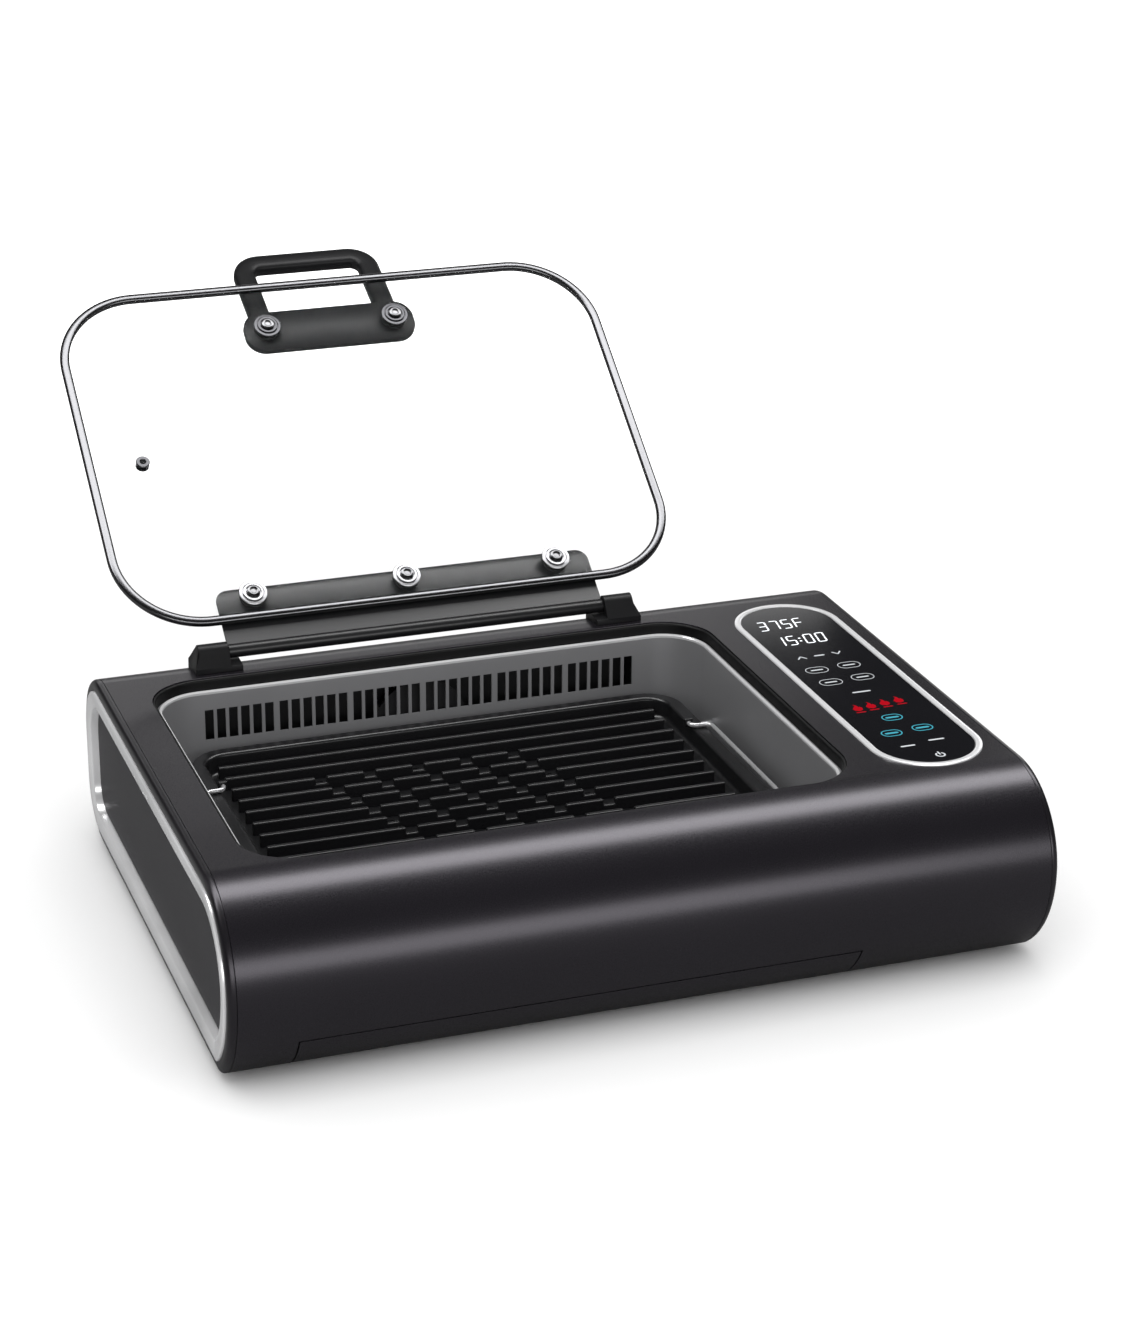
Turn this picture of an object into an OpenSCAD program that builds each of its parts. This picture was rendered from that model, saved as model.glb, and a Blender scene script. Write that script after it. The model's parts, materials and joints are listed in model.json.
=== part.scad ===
// Electric indoor grill with a hinged glass lid.
// +X is to the right of a person standing in front of it, +Y is to the back and +Z is up.
// The origin is the bottom centre of the whole grill with its lid open. The body's own heights
// are counted from the underside of the case, and its depths from the middle of the case.

/* [Case] */
// Length of the case between the faces of its end rings
body_length = 531; // [500:1:580]
// Depth of the case, front to back
body_depth = 410; // [400:1:440]
// Height of the case without its feet
body_height = 122; // [120:1:132]
// Thickness of the case sheet
sheet = 1.5; // [1.2:0.1:2]
// Radius of the front shoulder
shoulder_r = 59.5; // [50:0.5:62]
// How much the radius below the front's nose is larger than the nose's height
belly_more = 13.5; // [10:0.5:17]
// Radius of the front's lower lip
lip_r = 7; // [5:0.5:10]
// Radius of the back's upper edge
back_top_r = 48; // [36:1:50]
// Radius of the back's lower edge
back_low_r = 38; // [30:1:42]
// Height of the rubber feet below the case
foot_height = 5; // [4:0.5:9]
// Radius of a foot
foot_r = 10; // [8:0.5:11]
// Thickness of the base plate
base_t = 1.5; // [1.2:0.1:2]
// Width of the case sheet that the base plate laps
base_lap = 13; // [11:1:16]

/* [Ends] */
// Width of the rounded band of an end ring
band_w = 6.5; // [5:0.5:9]
// Distance from the case's outline in to the trim ring
ring_inset = 5; // [4:0.5:7]
// Width of the trim ring's face
ring_w = 6.5; // [5:0.5:9]
// How far the trim ring stands out from the case's end
ring_proud = 4.5; // [2:0.5:6]
// Depth of the side panel's face behind the case's end
panel_recess = 1.5; // [0.5:0.5:3]
// Thickness of the side panel
panel_t = 2.5; // [2:0.5:3]

/* [Cooking opening] */
// Distance from the case's left end to the opening
opening_left = 28; // [27:0.5:32]
// Distance from the case's right end to the opening
opening_right = 108; // [106:0.5:112]
// Flat strip of the deck between the front shoulder and the opening
deck_strip = 2.25; // [2:0.25:6]
// Corner radius of the opening
opening_r = 34; // [30:1:40]
// Wall of the opening's black trim
trim_t = 2; // [1.5:0.5:3]
// How far down the trim reaches below the deck
trim_depth = 7; // [6:0.5:9]
// Ledge of bright metal between the trim and the liner's walls
liner_ledge = 3.6; // [3:0.2:5]
// Sheet of the liner
liner_t = 1.2; // [1:0.1:1.5]
// Height of the liner's underside above the case's underside
liner_z = 16; // [15.8:0.2:17]

/* [Air slots] */
// Distance of the slots' middle to the left of the opening's middle
vent_left = 4; // [0:1:8]
// Groups of slots
vent_groups = 6; // [4:1:6]
// Slots in a group
vent_per_group = 6; // [4:1:6]
// Width of a slot
vent_w = 6.1; // [5:0.1:6.6]
// Height of a slot
vent_h = 22; // [18:1:23]
// Distance from one slot to the next
vent_pitch = 8.4; // [8:0.1:8.8]
// Extra bar between two groups
vent_bar = 1.9; // [1:0.1:3]
// Distance from the liner's top down to the slots
vent_drop = 14.5; // [13:0.5:17]

/* [Heater] */
// Radius of the heating tube
heater_r = 3.2; // [3:0.1:3.4]
// Height of the tube's centre above the liner's floor
heater_rise = 5.6; // [5:0.1:6]
// Distance between two runs of the tube
heater_pitch = 60; // [50:1:64]
// Height of the brackets that carry the tube and the basket
bracket_h = 10.5; // [10.3:0.1:11]
// Thickness of a bracket
bracket_t = 1.5; // [1:0.1:2]
// Radius of the temperature probe
probe_r = 2.5; // [2:0.1:3]
// Length of the probe inside the cavity
probe_length = 9; // [6:1:10]

/* [Basket] */
// Height of the basket from its underside to its rim
basket_h = 43.7; // [43:0.1:45]
// Sheet of the basket
basket_t = 1; // [0.8:0.1:1.2]
// Width and height of the basket's rolled rim
basket_rim = 3.2; // [2.6:0.1:3.4]
// Columns of air slots in its front and back walls
slot_columns = 6; // [4:1:6]
// Rows of air slots
slot_rows = 4; // [2:1:4]
// Width of an air slot
slot_w = 38; // [30:1:40]
// Height of an air slot
slot_h = 4.6; // [4:0.1:5]

/* [Grill plate] */
// Gap between the opening and each side of the grill plate
plate_side_gap = 21.5; // [20.5:0.5:24]
// Gap between the opening and the front and back of the grill plate
plate_front_gap = 12.25; // [11.25:0.25:14]
// Corner radius of the grill plate
plate_r = 26; // [22:1:30]
// Thickness of the plate's rim
plate_rim_t = 3; // [2.5:0.1:3.5]
// How far the rim stands out over the basket
plate_overhang = 4.6; // [4.5:0.1:5]
// Depth of the plate's skirt below its rim
skirt_h = 14; // [12:1:15]
// Wall of the skirt
skirt_t = 5; // [4:0.5:6]
// Thickness of the plate's web
web_t = 3.5; // [3:0.5:4]
// Number of ribs
rib_count = 13; // [9:1:13]
// Height of a rib above the web
rib_h = 8.5; // [7:0.5:10]
// Width of a rib
rib_w = 4; // [3:0.5:5]

/* [Wire handles] */
// Radius of the handle wire
wire_r = 1.6; // [1.4:0.1:1.8]
// Radius of the wire's bends
bend_r = 5; // [4:0.5:5.5]
// Distance between the legs of a handle
bail_span = 120; // [100:1:130]
// Reach of a grill plate handle
plate_bail_reach = 14; // [13:0.5:15]
// Reach of a basket handle
basket_bail_reach = 18; // [16:0.5:18.5]
// Thickness of the ears that hold the wire
ear_t = 3; // [2.5:0.5:4]

/* [Drip tray] */
// Distance of the tray's middle to the left of the opening's middle
tray_left = 3; // [0:0.5:5]
// How much shorter the seam round the tray's front is than the opening
seam_less = 31; // [29:1:45]
// Height of the seam round the tray's front
seam_h = 27; // [25:0.5:30]
// Gap of the seam
seam_gap = 0.8; // [0.6:0.1:1]
// Thickness of the tray's front
front_t = 2.2; // [2:0.1:2.6]
// Height of the tray's pan
pan_h = 10.5; // [9:0.5:11]
// Wall of the pan
pan_t = 1.6; // [1.4:0.1:2]
// Depth of the pan, front to back
pan_d = 306; // [290:1:310]

/* [Fan] */
// Radius of the fan
fan_r = 34; // [28:1:36]
// Width of the fan
fan_w = 18; // [14:1:19]
// Number of blades
fan_blades = 12; // [8:1:16]
// Radius of the fan's shaft
shaft_r = 2.5; // [2:0.1:3]
// Radius of the motor
motor_r = 22; // [18:1:24]
// Length of the motor
motor_l = 20; // [18:1:22]
// Wall of the fan's housing
housing_t = 1.5; // [1:0.1:2]

/* [Controls] */
// Distance from the control ring to the end of the case's sheet
panel_side = 4; // [3:0.5:8]
// Distance from the ends of the deck's flat to the control ring
panel_end = 4; // [4:0.5:12]
// Overall width of the control ring
control_w = 76; // [70:1:77]
// Width of the bright ring
control_band = 4.5; // [4:0.1:5]
// How far the ring stands above the deck
control_proud = 1.2; // [0.8:0.1:1.6]
// Thickness of the glass
control_glass_t = 3.2; // [3:0.1:3.4]
// Thickness of a circuit board
board_t = 1.6; // [1.2:0.1:2]
// Width of the power board
power_w = 72; // [66:1:74]
// Depth of the power board, front to back
power_d = 180; // [170:1:190]

/* [Power inlet] */
// Distance from the case's right end to the inlet's middle
inlet_end = 65.5; // [60:0.5:75]
// Height of the inlet's middle
inlet_z = 55; // [52:1:58]
// Width of the socket
socket_w = 24; // [22:1:26]
// Height of the socket
socket_h = 16; // [15:1:18]
// Depth of the socket
socket_d = 15; // [14:1:17]

/* [Lid] */
// How far the closed lid laps each side of the opening
lid_lap_x = 7; // [5:0.5:9]
// How far the closed lid laps the front and back of the opening
lid_lap_y = 1.75; // [1.5:0.25:3]
// Corner radius of the lid
lid_r = 62; // [55:1:66]
// Width of the lid's metal rim
rim_w = 6.8; // [6:0.2:8]
// Thickness of the lid's metal rim
rim_t = 6; // [5.6:0.1:6.4]
// Thickness of the lid's glass
glass_t = 4; // [3.5:0.1:4.2]
// Angle that the lid opens
lid_open = 144; // [120:1:144]
// Height of the hinge axis above the deck
hinge_rise = 10.2; // [10:0.1:11]
// Distance of the hinge axis behind the closed lid's edge
hinge_back = 18; // [17:0.5:19]
// Gap between the closed lid and the deck
lid_gap = 0.45; // [0.3:0.05:0.8]

/* [Hinge] */
// Length of the hinge plate
hinge_w = 272; // [260:1:276]
// Reach of the hinge plate over the lid
hinge_reach = 29; // [27:0.5:32]
// Thickness of the hinge plate
hinge_t = 2; // [1.6:0.1:2.2]
// Radius of the hinge plate's rolled edge
barrel_r = 4.8; // [4.5:0.1:5]
// Radius of the hinge pins
pin_r = 2.5; // [2:0.1:3]
// Length of a hinge pin
pin_l = 36; // [30:1:40]
// Width of a hinge block
block_w = 25; // [22:1:28]
// Depth of a hinge block
block_d = 24; // [20:1:26]
// Radius of a hinge block round the pin
block_r = 7; // [6:0.5:8]
// Length of a hinge block's low foot under the plate's end
block_foot = 8; // [6:1:10]

/* [Fasteners] */
// Radius of the bright washers on the lid
washer_r = 10; // [9:0.5:11]
// Thickness of a washer
washer_t = 2; // [1.6:0.1:2.4]
// Radius of the lid screws
screw_r = 2.5; // [2:0.1:3]
// Distance between two washers on the hinge plate
hinge_washer_pitch = 110.5; // [100:0.5:114]
// Distance between the washers on the handle
handle_washer_pitch = 97; // [92:1:100]
// Radius of the lid's steam grommet
grommet_r = 4.9; // [4:0.1:6]
// Radius of the base screws
base_screw_r = 1.5; // [1.3:0.1:1.8]

/* [Lid handle] */
// Length of the handle's base bar
handle_bar_w = 133; // [126:1:138]
// Depth of the handle's base bar
handle_bar_d = 35; // [30:1:36]
// Thickness of the handle's base bar
handle_bar_t = 7; // [6:0.5:8]
// Distance from the lid's edge to the middle of the base bar
handle_set = 40.5; // [38:0.5:42]
// Overall width of the handle's loop
loop_w = 112; // [108:1:116]
// Reach of the loop from the middle of the base bar
loop_reach = 88; // [80:1:92]
// Width of the loop's bar
loop_band = 14; // [12:0.5:15]
// Thickness of the loop's bar
loop_t = 11; // [9:0.5:12]
// Corner radius of the loop
loop_r = 22; // [18:1:26]
// Angle that the loop rises from the lid
loop_tilt = 12; // [8:0.5:15]

/* [Hidden] */

$fn = 48;
gap = 0.3;        // between a moving piece and what it rests on or passes
fit = 0.2;        // round a fixed piece that sits in another
run = 0.05;       // radial, round a pin or shaft that turns
arc_steps = 14;
eps = 0.01;       // keeps the two ends of a stadium from meeting in a point

y_front = -body_depth / 2;
y_back = body_depth / 2;
end_x = body_length / 2;
shell_x = end_x - band_w;
base_top = sheet + base_t;
deck_under = body_height - sheet;
nose_z = body_height - shoulder_r;
belly_r = nose_z + belly_more;

opening_w = body_length - opening_left - opening_right;
opening_d = 2 * (body_depth / 2 - shoulder_r - deck_strip);
cook_x = (opening_left - opening_right) / 2;
trim_low = body_height - trim_depth;
vent_x = cook_x - vent_left;
vent_z = trim_low - vent_drop - vent_h;
tray_x = cook_x - tray_left;
seam_w = opening_w - seam_less;
panel_x = shell_x - panel_side - control_w / 2;
control_d = body_depth - shoulder_r - back_top_r - 2 * panel_end;
inlet_x = end_x - inlet_end;
lid_w = opening_w + 2 * lid_lap_x;
lid_d = opening_d + 2 * lid_lap_y;

// ---- outlines --------------------------------------------------------------------------

function arc(cx, cy, r, a0, a1, n = arc_steps) =
    [for (i = [0 : n]) let (a = a0 + (a1 - a0) * i / n) [cx + r * cos(a), cy + r * sin(a)]];

function rounded(w, d, r) = concat(
    arc(w / 2 - r, d / 2 - r, r, 0, 90, 10), arc(r - w / 2, d / 2 - r, r, 90, 180, 10),
    arc(r - w / 2, r - d / 2, r, 180, 270, 10), arc(w / 2 - r, r - d / 2, r, 270, 360, 10));

// Front lip of the case's outline at an inset k: its radius, then the turn of the belly
// down to it, then its centre's depth.
function lip_at(k) = max(lip_r - k, 1.5);
function belly_turn(k) =
    asin((nose_z - k - lip_at(k)) / (belly_r - k - lip_at(k)));
function lip_y(k) = y_front + belly_r - (belly_r - k - lip_at(k)) * cos(belly_turn(k));

// Side outline of the case as depth and height, moved inwards by k.
function case_outline(k) = concat(
    arc(y_front + shoulder_r, nose_z, shoulder_r - k, 90, 180),
    arc(y_front + belly_r, nose_z, belly_r - k, 180, 180 + belly_turn(k)),
    arc(lip_y(k), k + lip_at(k), lip_at(k), 180 + belly_turn(k), 270, 6),
    arc(y_back - back_low_r, back_low_r, back_low_r - k, 270, 360),
    arc(y_back - back_top_r, body_height - back_top_r, back_top_r - k, 0, 90));

// Depth of the front's inner face at a height z, for a sheet of thickness k.
function front_at(k, z) = y_front + belly_r - sqrt(pow(belly_r - k, 2) - pow(nose_z - z, 2));

// ---- places ----------------------------------------------------------------------------

// A body length along X of the case's outline, between two stations.
module case_prism(k, x0, x1) {
    translate([x0, 0, 0]) rotate([90, 0, 90]) linear_extrude(x1 - x0) polygon(case_outline(k));
}

module slab(w, d, r, z0, z1) {
    translate([0, 0, z0]) linear_extrude(z1 - z0) polygon(rounded(w, d, r));
}

module bar_x(r, x0, x1) {
    translate([x0, 0, 0]) rotate([0, 90, 0]) cylinder(r = r, h = x1 - x0);
}

module bar_y(r, y0, y1) {
    translate([0, y0, 0]) rotate([-90, 0, 0]) cylinder(r = r, h = y1 - y0);
}

module box(x0, x1, y0, y1, z0, z1) {
    translate([x0, y0, z0]) cube([x1 - x0, y1 - y0, z1 - z0]);
}

module pair_x() {
    children();
    mirror([1, 0, 0]) children();
}

// The body stands on its feet; y_shift puts the origin under the middle of the open grill.
module placed() translate([0, y_shift, foot_height]) children();

// The lid is drawn closed about its hinge axis, with its front towards -Y, and then opened.
lid_forward = 0.6;    // the closed lid's middle in front of the case's middle
hinge_y = lid_d / 2 + hinge_back - lid_forward;
hinge_z = body_height + hinge_rise;
lid_plane = lid_gap + rim_t / 2 - hinge_rise;
lid_mid = -hinge_back - lid_d / 2;
glass_top = lid_plane + glass_t / 2;
spacer_t = rim_t / 2 - glass_t / 2 + lid_gap;
loop_root_y = -hinge_back - lid_d + handle_set;
loop_root_z = glass_top + spacer_t + loop_t / 2;
loop_tip_y = loop_root_y - loop_reach * cos(loop_tilt) + loop_t / 2 * sin(loop_tilt);
loop_tip_z = loop_root_z + loop_reach * sin(loop_tilt) + loop_t / 2 * cos(loop_tilt);
open_back = hinge_y + loop_tip_y * cos(lid_open) + loop_tip_z * sin(lid_open);
y_shift = -(open_back + y_front) / 2;

module on_lid() {
    translate([cook_x, hinge_y, hinge_z]) rotate([-lid_open, 0, 0]) children();
}

// ---- case ------------------------------------------------------------------------------

// Places where the base plate laps the case's bottom sheet, and their screws.
base_side = 24;       // from the end of the case's sheet to the base plate
base_behind = 3.5;    // from the tray's seam to the base plate
base_back = 43;       // from the case's back to the base plate
screw_in = 34;        // from the base plate's front and back to its side screws
foot_side = 17;       // from the end of the case's sheet to a foot's middle
foot_end = 65;        // from the case's front and back to a foot's middle
seam_behind = 12.5;   // flat strip of the case's bottom that moves with the tray
base_vent_w = 4;
base_vent_l = 80;
base_vents = 6;
seam_y = lip_y(0) + seam_behind;
base_w = 2 * (shell_x - base_side);
base_y0 = seam_y + base_behind;
base_y1 = y_back - base_back;
screw_x = base_w / 2 - base_lap / 2;
screw_back = base_y1 - base_lap / 2;
base_screw_spots = [for (x = [-screw_x, screw_x], y = [base_y0 + screw_in, 0, base_y1 - screw_in]) [x, y],
    [-screw_x / 2, screw_back], [screw_x / 4, screw_back]];
foot_x = shell_x - foot_side;
foot_y = body_depth / 2 - foot_end;
foot_spots = [for (x = [-foot_x, foot_x], y = [-foot_y, foot_y]) [x, y]];
base_vent_x = base_w / 2 - base_lap - 2 * base_vent_w * base_vents - 6;
control_hole_w = control_w - 5;
control_hole_d = control_d - 5;

outlet_w = 10;        // slots of the case's back, behind the fan's motor
outlet_h = 4;
outlet_columns = 14;
outlet_rows = 3;
outlet_z = 46;
outlet_pitch_x = 16;
outlet_pitch_z = 8;

module case_vents() {
    for (i = [0 : outlet_columns - 1], j = [0 : outlet_rows - 1]) {
        x = vent_x + outlet_pitch_x * (i - (outlet_columns - 1) / 2);
        z = outlet_z + outlet_pitch_z * j;
        box(x - outlet_w / 2, x + outlet_w / 2, y_back - 6, y_back + 1, z, z + outlet_h);
    }
}

module case_shell() {
    color([0.17, 0.16, 0.18]) placed() difference() {
        case_prism(0, -shell_x, shell_x);
        case_prism(sheet, -shell_x - 1, shell_x + 1);
        translate([cook_x, 0, 0])
            slab(opening_w + 2 * (trim_t + fit), opening_d + 2 * (trim_t + fit), opening_r + trim_t + fit,
                deck_under - 1, body_height + 1);
        translate([panel_x, 0, 0])
            slab(control_hole_w, control_hole_d, control_hole_w / 2 - eps, deck_under - 1, body_height + 1);
        box(tray_x - seam_w / 2, tray_x + seam_w / 2, y_front - 1, seam_y, -1, seam_h);
        box(-base_w / 2 + base_lap, base_w / 2 - base_lap, base_y0 + base_lap, base_y1 - base_lap,
            -1, sheet + 1);
        for (p = base_screw_spots) {
            translate([p[0], p[1], -1]) cylinder(r = base_screw_r + fit, h = sheet + 2);
        }
        for (p = foot_spots) {
            translate([p[0], p[1], -1]) cylinder(r = foot_r / 3 + fit, h = sheet + 2);
        }
        box(inlet_x - socket_w / 2 - 3 - fit, inlet_x + socket_w / 2 + 3 + fit, y_back - 5, y_back + 1,
            inlet_z - socket_h / 2 - 3 - fit, inlet_z + socket_h / 2 + 3 + fit);
        case_vents();
    }
}

module base_plate() {
    color([0.2, 0.2, 0.21]) placed() difference() {
        box(-base_w / 2, base_w / 2, base_y0, base_y1, sheet, base_top);
        for (p = base_screw_spots) {
            translate([p[0], p[1], 0]) cylinder(r = base_screw_r, h = base_top + 1);
        }
        for (i = [0 : base_vents - 1]) {
            x = base_vent_x + 2 * base_vent_w * i;
            box(x, x + base_vent_w, power_y - base_vent_l / 2, power_y + base_vent_l / 2, sheet - 1, base_top + 1);
        }
    }
}

module base_screws() {
    color("silver") placed() for (p = base_screw_spots) translate([p[0], p[1], 0]) {
        translate([0, 0, -1.6]) cylinder(r = 2 * base_screw_r + 0.4, h = 1.6);
        translate([0, 0, -1]) cylinder(r = base_screw_r, h = base_top + 2);
    }
}

module feet() {
    color([0.08, 0.08, 0.08]) placed() for (p = foot_spots) translate([p[0], p[1], 0]) {
        translate([0, 0, -foot_height]) cylinder(r = foot_r, h = foot_height);
        translate([0, 0, -1]) cylinder(r = foot_r / 3, h = sheet + 2.5);
    }
}

// ---- ends ------------------------------------------------------------------------------

ring_in = ring_inset + ring_w;

module bezel() {
    color([0.1, 0.1, 0.11]) {
        difference() {
            case_prism(0, shell_x, end_x);
            case_prism(ring_inset - fit, shell_x - 1, end_x + 1);
        }
        difference() {
            case_prism(sheet + fit, shell_x - 4, shell_x);
            case_prism(ring_in + 6, shell_x - 5, shell_x + 1);
        }
    }
}

module trim_ring() {
    color("silver") difference() {
        case_prism(ring_inset, shell_x, end_x + ring_proud);
        case_prism(ring_in, shell_x - 1, end_x + ring_proud + 1);
    }
}

module side_panel() {
    color([0.19, 0.18, 0.2]) {
        case_prism(ring_in + fit, end_x - panel_recess - panel_t, end_x - panel_recess);
        difference() {
            case_prism(ring_in + fit, shell_x, end_x - panel_recess - panel_t / 2);
            case_prism(ring_in + 3, shell_x - 1, end_x);
        }
    }
}

module bezel_right() placed() bezel();
module bezel_left() placed() mirror([1, 0, 0]) bezel();
module trim_ring_right() placed() trim_ring();
module trim_ring_left() placed() mirror([1, 0, 0]) trim_ring();
module side_panel_right() placed() side_panel();
module side_panel_left() placed() mirror([1, 0, 0]) side_panel();

// ---- opening and liner -----------------------------------------------------------------

liner_w = opening_w - 2 * liner_ledge;
liner_d = opening_d - 2 * liner_ledge;
liner_r = opening_r - liner_ledge;
liner_floor = liner_z + liner_t;
heater_z = liner_floor + heater_rise;
heater_turn = heater_pitch / 2;
heater_left = cook_x - liner_w / 2 + 2 * heater_turn;
heater_right = cook_x + liner_w / 2 - 2 * heater_turn;
bracket_in = 13;      // from the ends of the tube's straight runs to a bracket
bracket_foot = 7;     // of a bracket's bent end, along and across
bracket_spots = [heater_left + bracket_in, cook_x, heater_right - bracket_in];
bracket_y = 1.5 * heater_pitch + 15;
drain_w = 40;         // slots of the liner's floor over the drip tray
drain_d = 8;
drain_pitch = 62;
liner_wall_x = cook_x + liner_w / 2 + liner_t;
liner_back = liner_d / 2 + liner_t;
probe_in = 34.65;     // from the liner's back wall to the probe
probe_rise = 38.8;    // from the liner's floor to the probe
probe_y = liner_d / 2 - probe_in;
probe_z = liner_floor + probe_rise;
trim_flange = 6;      // width of the trim's flange under the deck
flange_t = 1.5;
flange_drop = 0.6;    // keeps the flange clear of the shoulder's sheet

module opening_trim() {
    color([0.07, 0.07, 0.08]) placed() translate([cook_x, 0, 0]) difference() {
        union() {
            slab(opening_w + 2 * trim_t, opening_d + 2 * trim_t, opening_r + trim_t, trim_low, body_height);
            slab(opening_w + 2 * (trim_t + trim_flange), opening_d + 2 * (trim_t + trim_flange),
                opening_r + trim_t + trim_flange, deck_under - flange_drop - flange_t,
                deck_under - flange_drop);
        }
        slab(opening_w, opening_d, opening_r, trim_low - 1, body_height + 1);
    }
}

group_w = vent_pitch * (vent_per_group - 1) + vent_w;
group_pitch = vent_pitch * vent_per_group + vent_bar;
vents_w = group_pitch * (vent_groups - 1) + group_w;

module air_slots() {
    for (g = [0 : vent_groups - 1], s = [0 : vent_per_group - 1]) {
        x0 = vent_x - vents_w / 2 + group_pitch * g + vent_pitch * s;
        box(x0, x0 + vent_w, liner_back - 2 * liner_t, liner_back + 1, vent_z, vent_z + vent_h);
    }
}

module cavity_liner() {
    color([0.45, 0.45, 0.47]) placed() difference() {
        translate([cook_x, 0, 0]) {
            slab(liner_w + 2 * liner_t, liner_d + 2 * liner_t, liner_r + liner_t, liner_z, trim_low);
            slab(opening_w + 2 * trim_t, opening_d + 2 * trim_t, opening_r + trim_t,
                trim_low - liner_t, trim_low);
        }
        translate([cook_x, 0, 0]) slab(liner_w, liner_d, liner_r, liner_floor, trim_low + 1);
        air_slots();
        for (i = [-2 : 2], y = [-heater_pitch, heater_pitch]) {
            x = cook_x + drain_pitch * i;
            box(x - drain_w / 2, x + drain_w / 2, y - drain_d / 2, y + drain_d / 2, liner_z - 1, liner_floor + 1);
        }
        for (y = [-1.5, 1.5] * heater_pitch) {
            translate([0, y, heater_z]) bar_x(heater_r + run, liner_wall_x - 3, liner_wall_x + 1);
        }
        translate([0, probe_y, probe_z]) bar_x(probe_r + run, liner_wall_x - 3, liner_wall_x + 1);
    }
}

module heater_bend(x, y, side) {
    translate([x, y, heater_z]) rotate([0, 0, side > 0 ? -90 : 90])
        rotate_extrude(angle = 180) translate([heater_turn, 0]) circle(r = heater_r);
}

module heating_element() {
    color([0.25, 0.24, 0.24]) placed() {
        for (y = [-1.5, 1.5] * heater_pitch) {
            translate([0, y, heater_z]) bar_x(heater_r, heater_left, liner_wall_x + 14);
        }
        for (y = [-0.5, 0.5] * heater_pitch) {
            translate([0, y, heater_z]) bar_x(heater_r, heater_left, heater_right);
        }
        heater_bend(heater_left, -heater_pitch, -1);
        heater_bend(heater_left, heater_pitch, -1);
        heater_bend(heater_right, 0, 1);
    }
}

module element_brackets() {
    color("silver") placed() for (x = bracket_spots) difference() {
        union() {
            box(x, x + bracket_t, -bracket_y, bracket_y, liner_floor, liner_floor + bracket_h);
            for (y = [-bracket_y, bracket_y - bracket_foot]) {
                box(x, x + bracket_t + bracket_foot, y, y + bracket_foot, liner_floor, liner_floor + bracket_t);
            }
        }
        for (y = [-1.5, -0.5, 0.5, 1.5] * heater_pitch) {
            translate([0, y, heater_z]) bar_x(heater_r + run, x - 1, x + bracket_t + 1);
        }
    }
}

module temperature_probe() {
    color("silver") placed() translate([0, probe_y, probe_z]) {
        bar_x(probe_r, liner_wall_x - liner_t - probe_length, liner_wall_x + 8);
        bar_x(2 * probe_r, liner_wall_x, liner_wall_x + 3);
    }
}

// ---- fan -------------------------------------------------------------------------------

housing_d = fan_w + 9;
housing_top = trim_low - 6.5;
fan_z = housing_top - fan_r - 8.5;
housing_back = liner_back + housing_d;
bracket_back = housing_back + 2;
fan_y = liner_back + 5;

module at_fan(y) translate([vent_x, y, fan_z]) children();

module fan_housing() {
    x = vents_w / 2 + 5;
    low = fan_z - fan_r - 4;
    color([0.6, 0.6, 0.62]) placed() translate([vent_x, 0, 0]) difference() {
        box(-x, x, liner_back, housing_back, low, housing_top);
        box(-x + housing_t, x - housing_t, liner_back - 1, housing_back - housing_t,
            low + housing_t, housing_top - housing_t);
        translate([0, 0, fan_z]) bar_y(fan_r - 6, housing_back - 5, housing_back + 1);
    }
}

module motor_bracket() {
    color("silver") placed() at_fan(housing_back) difference() {
        union() {
            bar_y(motor_r, 0, 2);
            for (a = [0, 120, 240]) rotate([0, a, 0]) box(-6, 6, 0, 2, 0, fan_r + 6);
        }
        bar_y(shaft_r + 3, -1, 3);
    }
}

module fan_motor() {
    color([0.3, 0.3, 0.32]) placed() at_fan(bracket_back) difference() {
        union() {
            bar_y(motor_r, 0, motor_l);
            bar_y(motor_r / 2, motor_l, motor_l + 4);
        }
        bar_y(shaft_r + run, -1, motor_l - 6);
    }
}

module fan_shaft() {
    color("silver") placed() at_fan(0) bar_y(shaft_r, fan_y + 1, bracket_back + motor_l - 7);
}

module fan_impeller() {
    color([0.5, 0.5, 0.52]) placed() at_fan(fan_y) difference() {
        union() {
            bar_y(fan_r, 0, 1.2);
            bar_y(3 * shaft_r, 0, fan_w);
            for (i = [0 : fan_blades - 1]) {
                rotate([0, i * 360 / fan_blades, 0]) box(-0.6, 0.6, 1, fan_w, fan_r * 0.45, fan_r - 1);
            }
        }
        bar_y(shaft_r + run, -1, fan_w + 1);
    }
}

// ---- controls --------------------------------------------------------------------------

control_glass_z = body_height + control_proud / 2 - control_glass_t;
ledge_z = control_glass_z - 1.5;
window_w = control_w - 2 * control_band;
window_d = control_d - 2 * control_band;
post_h = 4;
power_x = panel_x - 14;
power_y = -20;
power_z = base_top + 8;

module stadium(w, d, z0, z1) slab(w, d, w / 2 - eps, z0, z1);

module control_ring() {
    color("silver") placed() translate([panel_x, 0, 0]) difference() {
        union() {
            stadium(control_w, control_d, body_height, body_height + control_proud);
            stadium(control_hole_w - 2 * fit, control_hole_d - 2 * fit, ledge_z, body_height + control_proud / 2);
        }
        stadium(window_w, window_d, control_glass_z, body_height + 5);
        stadium(window_w - 6, window_d - 6, ledge_z - 1, body_height);
    }
}

module control_glass() {
    color([0.03, 0.03, 0.04]) placed() translate([panel_x, 0, 0])
        stadium(window_w - 2 * fit, window_d - 2 * fit, control_glass_z, control_glass_z + control_glass_t);
}

module display_board() {
    color([0.1, 0.35, 0.2]) placed() translate([panel_x, 0, 0]) {
        stadium(control_w - 8, control_d - 8, ledge_z - post_h - board_t, ledge_z - post_h);
        for (x = [-1, 1] * (window_w / 2 - 1), y = [-60, 60]) {
            translate([x, y, ledge_z - post_h - board_t / 2]) cylinder(r = 2, h = post_h + board_t / 2);
        }
    }
}

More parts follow.
